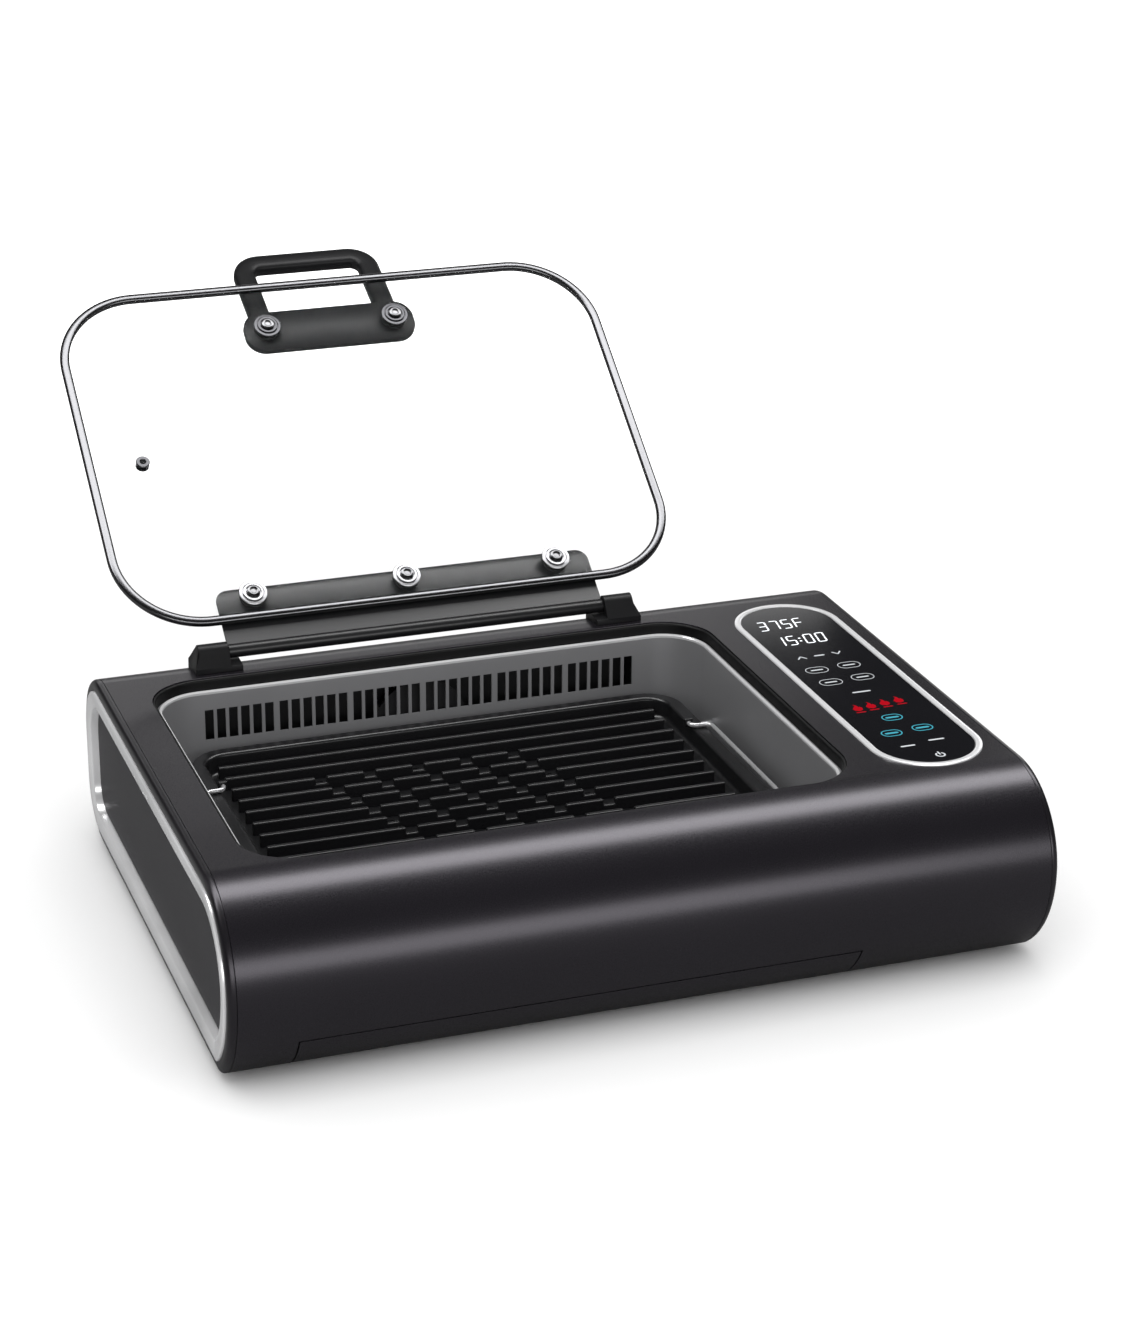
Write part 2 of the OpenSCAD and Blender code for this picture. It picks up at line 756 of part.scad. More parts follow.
module power_board() {
    color([0.1, 0.35, 0.2]) placed() translate([power_x, power_y, 0]) {
        box(-power_w / 2, power_w / 2, -power_d / 2, power_d / 2, power_z, power_z + board_t);
        for (x = [-24, 24], y = [-1, 1] * (power_d / 2 - 10)) {
            translate([x, y, base_top]) cylinder(r = 3.5, h = power_z - base_top + board_t / 2);
        }
    }
}

module on_board(x, y) placed() translate([power_x + x, power_y + y, power_z + board_t]) children();

module transformer() {
    color([0.55, 0.4, 0.2]) on_board(-10, -55) {
        box(-17, 17, -14, 14, 4, 24);
        box(-12, 12, -20, 20, 0, 20);
    }
}

module relays() {
    color([0.1, 0.2, 0.5]) for (y = [-20, 0, 20]) on_board(-22, y) box(-8, 8, -6, 6, 0, 15);
}

module capacitors() {
    color([0.1, 0.1, 0.12]) for (y = [-22, 0, 22]) on_board(22, y) cylinder(r = 6.5, h = 24);
}

// ---- power inlet -----------------------------------------------------------------------

socket_wall = 3;
pin_gap = 7;
pin_front = 5;

module power_inlet() {
    color([0.06, 0.06, 0.06]) placed() translate([inlet_x, 0, inlet_z]) {
        w = socket_w / 2;
        h = socket_h / 2;
        difference() {
            union() {
                box(-w - socket_wall, w + socket_wall, y_back - socket_d - socket_wall, y_back,
                    -h - socket_wall, h + socket_wall);
                box(-w - 6, w + 6, y_back - sheet - 2, y_back - sheet, -h - 6, h + 6);
            }
            box(-w, w, y_back - socket_d, y_back + 1, -h, h);
        }
    }
}

module inlet_pins() {
    color("gold") placed() for (i = [-1 : 1]) {
        translate([inlet_x + pin_gap * i, 0, inlet_z + (i == 0 ? 2 : -2)])
            box(-1, 1, y_back - socket_d, y_back - pin_front, -2, 2);
    }
}

// ---- drip tray -------------------------------------------------------------------------

pan_w = seam_w - 2 * seam_gap - 6;
pan_z = base_top + gap;
pan_y = front_at(front_t, pan_z) + 1;
pan_r = 6;
rail_h = 9;
rail_t = 1.2;
rail_front = pan_y + 22;
rail_back = pan_y + pan_d - 4;
front_ribs = pan_w / 3;    // between the ribs that tie the front to the pan

module tray_rails() {
    color("silver") placed() translate([tray_x, 0, 0]) pair_x() {
        x = pan_w / 2 + gap + fit;
        box(x, x + rail_t, rail_front, rail_back, base_top, base_top + rail_h);
        box(x, x + 2 * rail_t, rail_front, rail_back, base_top, base_top + rail_t);
    }
}

module tray_front() {
    w = seam_w / 2 - seam_gap;
    color([0.17, 0.16, 0.18]) placed() {
        difference() {
            case_prism(0, tray_x - w, tray_x + w);
            case_prism(front_t, tray_x - w - 1, tray_x + w + 1);
            box(tray_x - w - 1, tray_x + w + 1, y_front - 1, y_back + 1, seam_h - seam_gap, body_height + 1);
            box(tray_x - w - 1, tray_x + w + 1, seam_y - seam_gap, y_back + 1, -1, seam_h);
        }
        for (x = [-front_ribs, 0, front_ribs]) intersection() {
            case_prism(front_t / 2, tray_x + x - front_t, tray_x + x + front_t);
            box(tray_x + x - front_t, tray_x + x + front_t, y_front, pan_y, 1, pan_z + pan_h);
        }
    }
}

module drip_tray() {
    color([0.12, 0.12, 0.13]) placed() translate([tray_x, pan_y + pan_d / 2, 0]) difference() {
        slab(pan_w, pan_d, pan_r, pan_z, pan_z + pan_h);
        slab(pan_w - 2 * pan_t, pan_d - 2 * pan_t, pan_r - pan_t, pan_z + pan_t, pan_z + pan_h + 1);
    }
}

// ---- hinge and lid ---------------------------------------------------------------------

pin_seat = 20;    // length of a pin inside its block
foot_rise = hinge_rise - barrel_r - 0.6;

// Side outline of a hinge block, from the deck up round the pin.
function block_outline(top) = concat(
    [[hinge_y - block_d / 2, body_height - 12], [hinge_y - block_d / 2, body_height + 4]],
    top, [[hinge_y + block_d / 2, body_height + 4], [hinge_y + block_d / 2, body_height - 12]]);

module block_prism(top, x0, x1) {
    translate([x0, 0, 0]) rotate([90, 0, 90]) linear_extrude(x1 - x0) difference() {
        polygon(block_outline(top));
        polygon(case_outline(0));
    }
}

module hinge_block() {
    x = hinge_w / 2 + gap;
    color([0.09, 0.09, 0.1]) difference() {
        union() {
            block_prism(arc(hinge_y, hinge_z, block_r, 160, 20), x, x + block_w);
            block_prism([[hinge_y, body_height + foot_rise]], x - block_foot, x + 1);
        }
        translate([0, hinge_y, hinge_z]) bar_x(pin_r + run, x - block_foot - 1, x + pin_seat);
    }
}

module hinge_block_right() placed() translate([cook_x, 0, 0]) hinge_block();
module hinge_block_left() placed() translate([cook_x, 0, 0]) mirror([1, 0, 0]) hinge_block();

module hinge_pins() {
    x = hinge_w / 2 + gap + pin_seat;
    color("silver") placed() translate([cook_x, hinge_y, hinge_z]) pair_x() bar_x(pin_r, x - pin_l, x);
}

plate_bottom = glass_top + spacer_t;
hinge_washer_y = -hinge_back - 21;
hinge_washers_at = [for (i = [-1 : 1]) [hinge_washer_pitch * i, hinge_washer_y]];
handle_washers_at = [for (i = [-0.5, 0.5]) [handle_washer_pitch * i, loop_root_y]];
grommet_at = [-lid_w / 2 + 41, -hinge_back - 140];
glass_in = 2;     // wall of the rim outside the glass

module hinge_plate() {
    reach = hinge_back + hinge_reach;
    color([0.1, 0.1, 0.11]) placed() on_lid() difference() {
        union() {
            translate([0, -reach / 2, 0])
                slab(hinge_w, reach, 9, plate_bottom, plate_bottom + hinge_t);
            box(-hinge_w / 2, hinge_w / 2, -reach / 2, 0, plate_bottom, plate_bottom + hinge_t);
            bar_x(barrel_r, -hinge_w / 2, hinge_w / 2);
        }
        pair_x() bar_x(pin_r + run, hinge_w / 2 + gap + pin_seat - pin_l - 1, hinge_w / 2 + 1);
        for (p = hinge_washers_at) {
            translate([p[0], p[1], plate_bottom - 1]) cylinder(r = screw_r + run, h = hinge_t + 2);
        }
    }
}

module lid_rim() {
    color("silver") placed() on_lid() translate([0, lid_mid, lid_plane]) difference() {
        slab(lid_w, lid_d, lid_r, -rim_t / 2, rim_t / 2);
        slab(lid_w - 2 * rim_w, lid_d - 2 * rim_w, lid_r - rim_w, -rim_t, rim_t);
        slab(lid_w - 2 * glass_in, lid_d - 2 * glass_in, lid_r - glass_in, -glass_t / 2 - run, glass_t / 2 + run);
    }
}

module lid_glass() {
    color([0.8, 0.9, 0.95, 0.3]) placed() on_lid() difference() {
        translate([0, lid_mid, lid_plane])
            slab(lid_w - 2 * glass_in - 2 * fit, lid_d - 2 * glass_in - 2 * fit, lid_r - glass_in - fit,
                -glass_t / 2, glass_t / 2);
        for (p = concat(hinge_washers_at, handle_washers_at)) {
            translate([p[0], p[1], lid_plane - glass_t]) cylinder(r = screw_r + 0.5, h = 2 * glass_t);
        }
        translate([grommet_at[0], grommet_at[1], lid_plane - glass_t])
            cylinder(r = grommet_r - 1.5, h = 2 * glass_t);
    }
}

module lid_spacers() {
    color([0.05, 0.05, 0.05]) placed() on_lid() for (p = concat(hinge_washers_at, handle_washers_at)) {
        translate([p[0], p[1], glass_top]) difference() {
            cylinder(r = washer_r - 1, h = spacer_t);
            translate([0, 0, -1]) cylinder(r = screw_r + 0.5, h = spacer_t + 2);
        }
    }
}

module washers(spots) {
    color("silver") placed() on_lid() for (p = spots) {
        translate([p[0], p[1], lid_plane - glass_t / 2 - washer_t]) difference() {
            union() {
                translate([0, 0, washer_t / 2]) cylinder(r = washer_r, h = washer_t / 2);
                cylinder(r = washer_r * 0.72, h = washer_t);
            }
            translate([0, 0, -1]) cylinder(r = screw_r + fit, h = washer_t + 2);
        }
    }
}

module hinge_washers() washers(hinge_washers_at);
module handle_washers() washers(handle_washers_at);

module lid_screw(reach) {
    z = lid_plane - glass_t / 2 - washer_t;
    difference() {
        translate([0, 0, z - 1.8]) cylinder(r = screw_r * 1.9, h = 1.8);
        translate([0, 0, z - 2]) cylinder(r = screw_r, h = 1.2, $fn = 6);
    }
    translate([0, 0, z - 0.5]) cylinder(r = screw_r, h = plate_bottom + reach - z + 0.5);
}

module lid_screws() {
    color("silver") placed() on_lid() {
        for (p = hinge_washers_at) translate([p[0], p[1], 0]) lid_screw(hinge_t);
        for (p = handle_washers_at) translate([p[0], p[1], 0]) lid_screw(handle_bar_t - 2);
    }
}

module steam_grommet() {
    color("silver") placed() on_lid() translate([grommet_at[0], grommet_at[1], lid_plane]) difference() {
        union() {
            translate([0, 0, -glass_t / 2 - 1]) cylinder(r = grommet_r, h = 1);
            translate([0, 0, glass_t / 2]) cylinder(r = grommet_r, h = 1);
            translate([0, 0, -glass_t / 2 - 1]) cylinder(r = grommet_r - 1.5 - fit, h = glass_t + 2);
        }
        translate([0, 0, -glass_t]) cylinder(r = grommet_r - 3, h = 2 * glass_t);
    }
}

module loop_outline() {
    difference() {
        translate([0, -loop_reach / 2]) polygon(rounded(loop_w, loop_reach, loop_r));
        translate([0, loop_r - loop_reach / 2])
            polygon(rounded(loop_w - 2 * loop_band, loop_reach + 2 * loop_r - 2 * loop_band,
                loop_r - loop_band / 2));
    }
    for (x = [-1, 1] * (loop_w - loop_band) / 2) {
        translate([x - loop_band / 2, -loop_reach / 2]) square([loop_band, loop_reach / 2]);
    }
}

module lid_handle() {
    color([0.08, 0.08, 0.09]) placed() on_lid() difference() {
        union() {
            translate([0, loop_root_y, 0])
                slab(handle_bar_w, handle_bar_d, handle_bar_d * 0.42, plate_bottom, plate_bottom + handle_bar_t);
            translate([0, loop_root_y, loop_root_z]) rotate([-loop_tilt, 0, 0])
                translate([0, 0, -loop_t / 2]) linear_extrude(loop_t) loop_outline();
        }
        for (p = handle_washers_at) {
            translate([p[0], p[1], plate_bottom - 1]) cylinder(r = screw_r + run, h = handle_bar_t - 1);
        }
    }
}

// ---- basket, grill plate and their wire handles ----------------------------------------

basket_clear = 0.8;    // between the plate's skirt and the basket's wall
plate_w = opening_w - 2 * plate_side_gap;
plate_d = opening_d - 2 * plate_front_gap;
skirt_w = plate_w - 2 * plate_overhang;
skirt_d = plate_d - 2 * plate_overhang;
skirt_r = plate_r - plate_overhang;
basket_w = skirt_w + 2 * basket_clear;
basket_d = skirt_d + 2 * basket_clear;
basket_r = skirt_r + basket_clear;
basket_z = liner_floor + bracket_h + gap;
basket_top = basket_z + basket_h;
plate_low = basket_top + gap;
plate_top = plate_low + plate_rim_t;
web_z = plate_low - skirt_h;
well_w = skirt_w - 2 * skirt_t;
well_d = skirt_d - 2 * skirt_t;
rib_pitch = well_d / rib_count;
bail_stub = bend_r + ear_t + 2;
ear_y = bail_span / 2 + bend_r + 0.5;
basket_pivot_x = basket_w / 2 - wire_r - 2.2;
basket_pivot_z = basket_z + basket_t + basket_bail_reach + wire_r + 1;
plate_pivot_x = plate_w / 2 - 11;
plate_pivot_z = plate_top + wire_r + gap;

module elbow(x, y, from) {
    translate([x, y, 0]) rotate([0, 0, from])
        rotate_extrude(angle = 90) translate([bend_r, 0]) circle(r = wire_r);
}

// A wire handle about its pivot along Y, with its grip at +X.
module wire_bail(reach) {
    half = bail_span / 2;
    translate([reach, 0, 0]) bar_y(wire_r, bend_r - half, half - bend_r);
    for (side = [0, 1]) mirror([0, side, 0]) {
        elbow(reach - bend_r, half - bend_r, 0);
        translate([0, half, 0]) bar_x(wire_r, bend_r, reach - bend_r);
        elbow(bend_r, half + bend_r, 180);
        bar_y(wire_r, half + bend_r, half + bail_stub);
    }
}

// Ears either side of a handle, round its pivot.
module ears(r) {
    for (side = [0, 1]) mirror([0, side, 0]) difference() {
        translate([0, ear_y, 0]) children();
        bar_y(r, ear_y - 1, ear_y + ear_t + 1);
    }
}

module basket_slots() {
    column = slot_w + 5;
    row = slot_h + 2.2;
    for (i = [0 : slot_columns - 1], j = [0 : slot_rows - 1]) {
        x = column * (i - (slot_columns - 1) / 2);
        z = basket_z + 6 + row * j;
        box(x - slot_w / 2, x + slot_w / 2, -basket_d / 2 - 2, -basket_d / 2 + 1, z, z + slot_h);
        box(x - slot_w / 2, x + slot_w / 2, basket_d / 2 - 1, basket_d / 2 + 2, z, z + slot_h);
    }
}

module swirl(count, radius, length) {
    for (i = [0 : count - 1]) rotate([0, 0, i * 360 / count]) translate([radius, 0, 0])
        rotate([0, 0, 40]) box(-length / 2, length / 2, -2, 2, basket_z - 1, basket_z + basket_t + 1);
}

module basket() {
    color([0.1, 0.12, 0.16]) placed() translate([cook_x, 0, 0]) difference() {
        union() {
            slab(basket_w + 2 * basket_t, basket_d + 2 * basket_t, basket_r + basket_t, basket_z, basket_top);
            slab(basket_w + 2 * basket_rim, basket_d + 2 * basket_rim, basket_r + basket_rim,
                basket_top - basket_rim, basket_top);
        }
        slab(basket_w, basket_d, basket_r, basket_z + basket_t, basket_top + 1);
        basket_slots();
        swirl(10, 42, 22);
        swirl(16, 88, 26);
    }
}

module basket_ears() {
    color("silver") placed() translate([cook_x, 0, basket_pivot_z]) pair_x()
        translate([basket_pivot_x, 0, 0]) ears(wire_r + run)
            box(-wire_r - 2, basket_w / 2 - basket_pivot_x, 0, ear_t, -wire_r - 2, wire_r + 2);
}

module basket_bail() translate([basket_pivot_x, 0, basket_pivot_z]) rotate([0, 90, 0]) wire_bail(basket_bail_reach);

module basket_bail_right() color("silver") placed() translate([cook_x, 0, 0]) basket_bail();
module basket_bail_left() color("silver") placed() translate([cook_x, 0, 0]) mirror([1, 0, 0]) basket_bail();

// Ribs with a diagonal field of notches in their middle.
module ribs() {
    length = well_w - 18;
    for (i = [0 : rib_count - 1]) translate([0, rib_pitch * (i - (rib_count - 1) / 2), 0]) difference() {
        box(-length / 2, length / 2, -rib_w / 2, rib_w / 2, web_z + web_t / 2, web_z + web_t + rib_h);
        if (i > 1 && i < rib_count - 2) for (c = [-2 : 2]) {
            x = 34 * c - 7 * (i - (rib_count - 1) / 2);
            box(x - 4, x + 4, -rib_w, rib_w, web_z + web_t + rib_h / 2, web_z + web_t + rib_h + 1);
        }
    }
}

// Slots in every second valley between the ribs.
module drain_slots() {
    for (i = [0 : 2 : rib_count - 2], c = [-1 : 1]) {
        y = rib_pitch * (i - (rib_count - 2) / 2);
        x = 68 * c - 7 * (i - (rib_count - 2) / 2);
        box(x - 8, x + 8, y - 2, y + 2, web_z - 1, web_z + web_t + 1);
    }
}

module grill_plate() {
    color([0.06, 0.06, 0.06]) placed() translate([cook_x, 0, 0]) {
        difference() {
            union() {
                slab(plate_w, plate_d, plate_r, plate_low, plate_top);
                slab(skirt_w, skirt_d, skirt_r, web_z, plate_low + 1);
            }
            slab(well_w, well_d, skirt_r - skirt_t, web_z + web_t, plate_top + 1);
            drain_slots();
        }
        ribs();
    }
}

module plate_ears() {
    color([0.06, 0.06, 0.06]) placed() translate([cook_x, 0, plate_pivot_z]) pair_x()
        translate([plate_pivot_x, 0, 0]) ears(wire_r + run)
            box(-wire_r - 1.5, wire_r + 1.5, 0, ear_t, plate_top - plate_pivot_z, wire_r + 1.5);
}

module plate_bail() translate([plate_pivot_x, 0, plate_pivot_z]) wire_bail(plate_bail_reach);

module plate_bail_right() color("silver") placed() translate([cook_x, 0, 0]) plate_bail();
module plate_bail_left() color("silver") placed() translate([cook_x, 0, 0]) mirror([1, 0, 0]) plate_bail();

case_shell();
base_plate();
base_screws();
feet();
bezel_left();
bezel_right();
trim_ring_left();
trim_ring_right();
side_panel_left();
side_panel_right();
opening_trim();
cavity_liner();
heating_element();
element_brackets();
temperature_probe();
fan_housing();
fan_motor();
motor_bracket();
fan_shaft();
fan_impeller();
control_ring();
control_glass();
display_board();
power_board();
transformer();
relays();
capacitors();
power_inlet();
inlet_pins();
tray_rails();
tray_front();
drip_tray();
hinge_block_left();
hinge_block_right();
hinge_pins();
hinge_plate();
lid_rim();
lid_glass();
lid_spacers();
hinge_washers();
handle_washers();
lid_screws();
steam_grommet();
lid_handle();
basket();
basket_ears();
basket_bail_left();
basket_bail_right();
grill_plate();
plate_ears();
plate_bail_left();
plate_bail_right();
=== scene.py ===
import json
import math

import bmesh
import bpy
from mathutils import Matrix, Vector


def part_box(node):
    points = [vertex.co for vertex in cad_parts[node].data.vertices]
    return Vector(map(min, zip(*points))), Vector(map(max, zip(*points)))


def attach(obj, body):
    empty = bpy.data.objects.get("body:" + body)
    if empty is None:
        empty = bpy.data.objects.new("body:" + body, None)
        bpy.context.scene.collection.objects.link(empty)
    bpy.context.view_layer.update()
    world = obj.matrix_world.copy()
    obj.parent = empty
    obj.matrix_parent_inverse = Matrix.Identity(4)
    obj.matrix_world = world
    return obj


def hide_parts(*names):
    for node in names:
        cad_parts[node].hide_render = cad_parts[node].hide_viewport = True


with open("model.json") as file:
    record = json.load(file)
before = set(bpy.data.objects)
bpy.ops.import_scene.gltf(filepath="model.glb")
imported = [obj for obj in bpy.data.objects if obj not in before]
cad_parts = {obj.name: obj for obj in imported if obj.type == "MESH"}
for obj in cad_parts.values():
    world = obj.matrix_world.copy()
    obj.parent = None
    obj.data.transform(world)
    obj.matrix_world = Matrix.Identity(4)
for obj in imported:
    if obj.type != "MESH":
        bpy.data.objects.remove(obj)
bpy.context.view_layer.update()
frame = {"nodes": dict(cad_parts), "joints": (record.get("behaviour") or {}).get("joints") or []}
nodes = frame["nodes"]
mm = 0.001

caseLow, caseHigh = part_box("case_shell")
under = caseLow.z                                  # underside of the case
deck = caseHigh.z
bodyY = (caseLow.y + caseHigh.y) / 2               # middle of the case, front to back
caseDepth = caseHigh.y - caseLow.y
caseHeight = deck - under
openLow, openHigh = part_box("basket")
cookX = (openLow.x + openHigh.x) / 2               # middle of the cooking opening
lidHinge = [joint for joint in frame["joints"] if joint["name"] == "lid_hinge"][0]
lidAngle = math.radians(lidHinge["range_deg"][0])
lidFrame = Matrix.Translation(lidHinge["pos_m"]) @ Matrix.Rotation(lidAngle, 4, "X")
# heights from the case's underside, depths from its middle
caseFrame = Matrix.Translation((0, bodyY, under))
cookFrame = Matrix.Translation((cookX, bodyY, under))

cameraSetup = {
    "place": (-0.6269, -1.7768, 0.9363),           # from the middle of the case's footprint
    "yaw": 0.3262,
    "pitch": 0.3832,
    "lens": 84.7,
    "shift": (0.0377, -0.0106),
}


def addCamera(values):
    x, y, z = values["place"]
    bpy.ops.object.camera_add(location=(x, y + bodyY, z),
                              rotation=(math.pi / 2 - values["pitch"], 0, -values["yaw"]))
    camera = bpy.context.object
    camera.data.lens = values["lens"]
    camera.data.shift_x, camera.data.shift_y = values["shift"]
    camera.data.clip_end = 50
    bpy.context.scene.camera = camera


addCamera(cameraSetup)
print("camera placed")


def deselectAll():
    bpy.ops.object.select_all(action="DESELECT")


def activate(obj):
    deselectAll()
    obj.select_set(True)
    bpy.context.view_layer.objects.active = obj


def arcPoints(cx, cy, radius, start, end, steps=6):
    angles = [math.radians(start + (end - start) * i / steps) for i in range(steps + 1)]
    return [(cx + radius * math.cos(a), cy + radius * math.sin(a)) for a in angles]


def roundedOutline(width, depth, radius, steps=16):
    x, y = width / 2 - radius, depth / 2 - radius
    return (arcPoints(x, y, radius, 0, 90, steps) + arcPoints(-x, y, radius, 90, 180, steps)
            + arcPoints(-x, -y, radius, 180, 270, steps)
            + arcPoints(x, -y, radius, 270, 360, steps))


# Points of a section, given in millimetres from a corner.
def inMm(points, x=0, y=0):
    return [(x + u * mm, y + v * mm) for u, v in points]


# An empty piece, opened for editing.
def startPiece(name):
    deselectAll()
    bpy.ops.object.add(type="MESH")
    bpy.context.object.name = name
    bpy.ops.object.mode_set(mode="EDIT")
    return bpy.context.object


# Closes the edit: doubles merged, faces turned outwards.
def closePiece(obj):
    bpy.ops.mesh.select_all(action="SELECT")
    bpy.ops.mesh.remove_doubles(threshold=0.001 * mm)
    bpy.ops.mesh.normals_make_consistent(inside=False)
    bpy.ops.object.mode_set(mode="OBJECT")
    return obj


# Puts the newest loop of edges at its places.
def placeLoop(mesh, points):
    edit = bmesh.from_edit_mesh(mesh)
    edit.verts.ensure_lookup_table()
    for vertex, point in zip(edit.verts[-len(points):], points):
        vertex.co = point
    bmesh.update_edit_mesh(mesh)


# A skin over loops of points: a circle is placed on the first and extruded on to each other one.
# A ring ends on its first loop again, otherwise both ends are filled.
def loft(name, loops, ring=False):
    obj = startPiece(name)
    bpy.ops.mesh.primitive_circle_add(vertices=len(loops[0]), radius=mm)
    placeLoop(obj.data, loops[0])
    if not ring:
        bpy.ops.mesh.edge_face_add()
    for loop in loops[1:] + (loops[:1] if ring else []):
        bpy.ops.mesh.extrude_edges_move()
        placeLoop(obj.data, loop)
    if not ring:
        bpy.ops.mesh.edge_face_add()
    return closePiece(obj)


# Loops of a rounded rectangle about a centre, one for each (inset, height) of a section.
def rectLoops(width, depth, radius, section, centre=(0, 0), steps=16):
    loops = []
    for inset, z in section:
        outline = roundedOutline(width - 2 * inset, depth - 2 * inset, radius - inset, steps)
        loops.append([(centre[0] + x, centre[1] + y, z) for x, y in outline])
    return loops


# A chain of edges, extruded point by point.
def addChain(points):
    bpy.ops.mesh.primitive_plane_add(size=mm, location=points[0])
    bpy.ops.mesh.merge(type="CENTER")
    for start, end in zip(points, points[1:]):
        step = Vector(end) - Vector(start)
        bpy.ops.mesh.extrude_vertices_move(TRANSFORM_OT_translate={"value": step})


# A turned piece: a profile of (radius, height) drawn as a chain and spun about an upright axis.
def turned(name, spot, profile, steps=48, closed=False):
    x, y = spot
    points = [(x + r, y, z) for r, z in profile]
    if closed:
        points.append(points[0])
    else:
        points = [(x, y, profile[0][1])] + points + [(x, y, profile[-1][1])]
    obj = startPiece(name)
    addChain(points)
    bpy.ops.mesh.select_all(action="SELECT")
    bpy.ops.mesh.spin(steps=steps, angle=2 * math.pi, center=(x, y, 0), axis=(0, 0, 1))
    return closePiece(obj)


# A round wire along a path: a chain of edges made a curve, thickened and made a mesh again.
def wireAlong(name, path, radius):
    obj = startPiece(name)
    addChain(path)
    bpy.ops.object.mode_set(mode="OBJECT")
    activate(obj)
    bpy.ops.object.convert(target="CURVE")
    obj = bpy.context.object
    obj.data.bevel_depth = radius
    obj.data.bevel_resolution = 5
    obj.data.use_fill_caps = True
    bpy.ops.object.convert(target="MESH")
    obj = bpy.context.object
    bpy.ops.object.mode_set(mode="EDIT")
    return closePiece(obj)


def boxAt(low, high, name="cutter"):
    size = [h - l for l, h in zip(low, high)]
    centre = [(l + h) / 2 for l, h in zip(low, high)]
    bpy.ops.mesh.primitive_cube_add(size=1, location=centre, scale=size)
    obj = bpy.context.object
    obj.name = name
    bpy.ops.object.transform_apply()
    return obj


def joinAll(objects, name):
    deselectAll()
    for obj in objects:
        obj.select_set(True)
    bpy.context.view_layer.objects.active = objects[0]
    if len(objects) > 1:
        bpy.ops.object.join()
    bpy.context.object.name = name
    return bpy.context.object


def applyModifier(obj, kind, **settings):
    activate(obj)
    modifier = obj.modifiers.new(kind.lower(), kind)
    for key, value in settings.items():
        setattr(modifier, key, value)
    bpy.ops.object.modifier_apply(modifier=modifier.name)


def cut(obj, cutters):
    tool = joinAll(cutters, "cutter")
    applyModifier(obj, "BOOLEAN", operation="DIFFERENCE", solver="EXACT", object=tool)
    bpy.data.objects.remove(tool)


def bevelEdges(obj, width, segments=2, angle=40):
    applyModifier(obj, "BEVEL", width=width, segments=segments, limit_method="ANGLE",
                  angle_limit=math.radians(angle))


def place(obj, matrix):
    obj.data.transform(matrix)
    if matrix.determinant() < 0:
        obj.data.flip_normals()
    obj.data.update()


# Last steps of every piece: its place, shading, material, and what it rides on and stands for.
def finishPiece(obj, body, material, stands=(), angle=35, weighted=False, where=None):
    if where:
        place(obj, where)
    activate(obj)
    bpy.ops.object.shade_smooth_by_angle(angle=math.radians(angle))
    if weighted:
        applyModifier(obj, "WEIGHTED_NORMAL", keep_sharp=True)
    obj.data.materials.clear()
    obj.data.materials.append(material)
    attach(obj, body)
    if stands:
        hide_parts(*stands)
    return obj


# A copy of a construction part with its facets merged and its edges broken.
def softened(node, name, width=0.0):
    obj = nodes[node].copy()
    obj.data = nodes[node].data.copy()
    obj.parent = None
    for key in list(obj.keys()):
        del obj[key]
    obj.name = name
    bpy.context.scene.collection.objects.link(obj)
    activate(obj)
    bpy.ops.mesh.customdata_custom_splitnormals_clear()
    bpy.ops.object.mode_set(mode="EDIT")
    bpy.ops.mesh.select_all(action="SELECT")
    bpy.ops.mesh.remove_doubles(threshold=0.002 * mm)
    bpy.ops.mesh.dissolve_limited(angle_limit=math.radians(1))
    bpy.ops.object.mode_set(mode="OBJECT")
    if width:
        bevelEdges(obj, width)
    return obj


# Values for a node's inputs, their spaces written as underscores.
def fillInputs(node, values):
    for key, value in values.items():
        node.inputs[key.replace("_", " ")].default_value = value


def newMaterial(name, **values):
    material = bpy.data.materials.new(name)
    material.use_nodes = True
    shader = material.node_tree.nodes["Principled BSDF"]
    fillInputs(shader, values)
    return material, material.node_tree, shader


def addNode(tree, kind, operation=None, **values):
    node = tree.nodes.new("ShaderNode" + kind)
    if operation:
        node.operation = operation
    fillInputs(node, values)
    return node


# A finish with a fine bump and a slight drift of colour and gloss, from the piece's own place.
def finish(name, color, roughness, metallic=0.0, grain=900, bump=0.1, drift=0.12, spread=0.06,
           specular=0.5, stretch=(1, 1, 1), **values):
    material, tree, shader = newMaterial(name, Metallic=metallic, Specular_IOR_Level=specular,
                                         **values)
    where = addNode(tree, "TexCoord")
    mapping = addNode(tree, "Mapping", Scale=stretch)
    fine = addNode(tree, "TexNoise", Scale=grain, Detail=2)
    broad = addNode(tree, "TexNoise", Scale=14)
    tone = addNode(tree, "MapRange", To_Min=1 - drift, To_Max=1 + drift)
    tint = addNode(tree, "VectorMath", "SCALE", Vector=color)
    gloss = addNode(tree, "MapRange", To_Min=roughness - spread, To_Max=roughness + spread)
    relief = addNode(tree, "Bump", Strength=bump, Distance=0.1 * mm)
    link = tree.links.new
    link(where.outputs["Object"], mapping.inputs["Vector"])
    link(mapping.outputs["Vector"], fine.inputs["Vector"])
    link(where.outputs["Object"], broad.inputs["Vector"])
    link(broad.outputs["Fac"], tone.inputs["Value"])
    link(tone.outputs["Result"], tint.inputs["Scale"])
    link(tint.outputs["Vector"], shader.inputs["Base Color"])
    link(fine.outputs["Fac"], gloss.inputs["Value"])
    link(gloss.outputs["Result"], shader.inputs["Roughness"])
    link(fine.outputs["Fac"], relief.inputs["Height"])
    link(relief.outputs["Normal"], shader.inputs["Normal"])
    return material


# A bare metal, smooth and even.
def metal(name, color, metallic, roughness, grain=900, drift=0.04, spread=0.04):
    return finish(name, color, roughness, metallic, grain, 0.0, drift, spread)


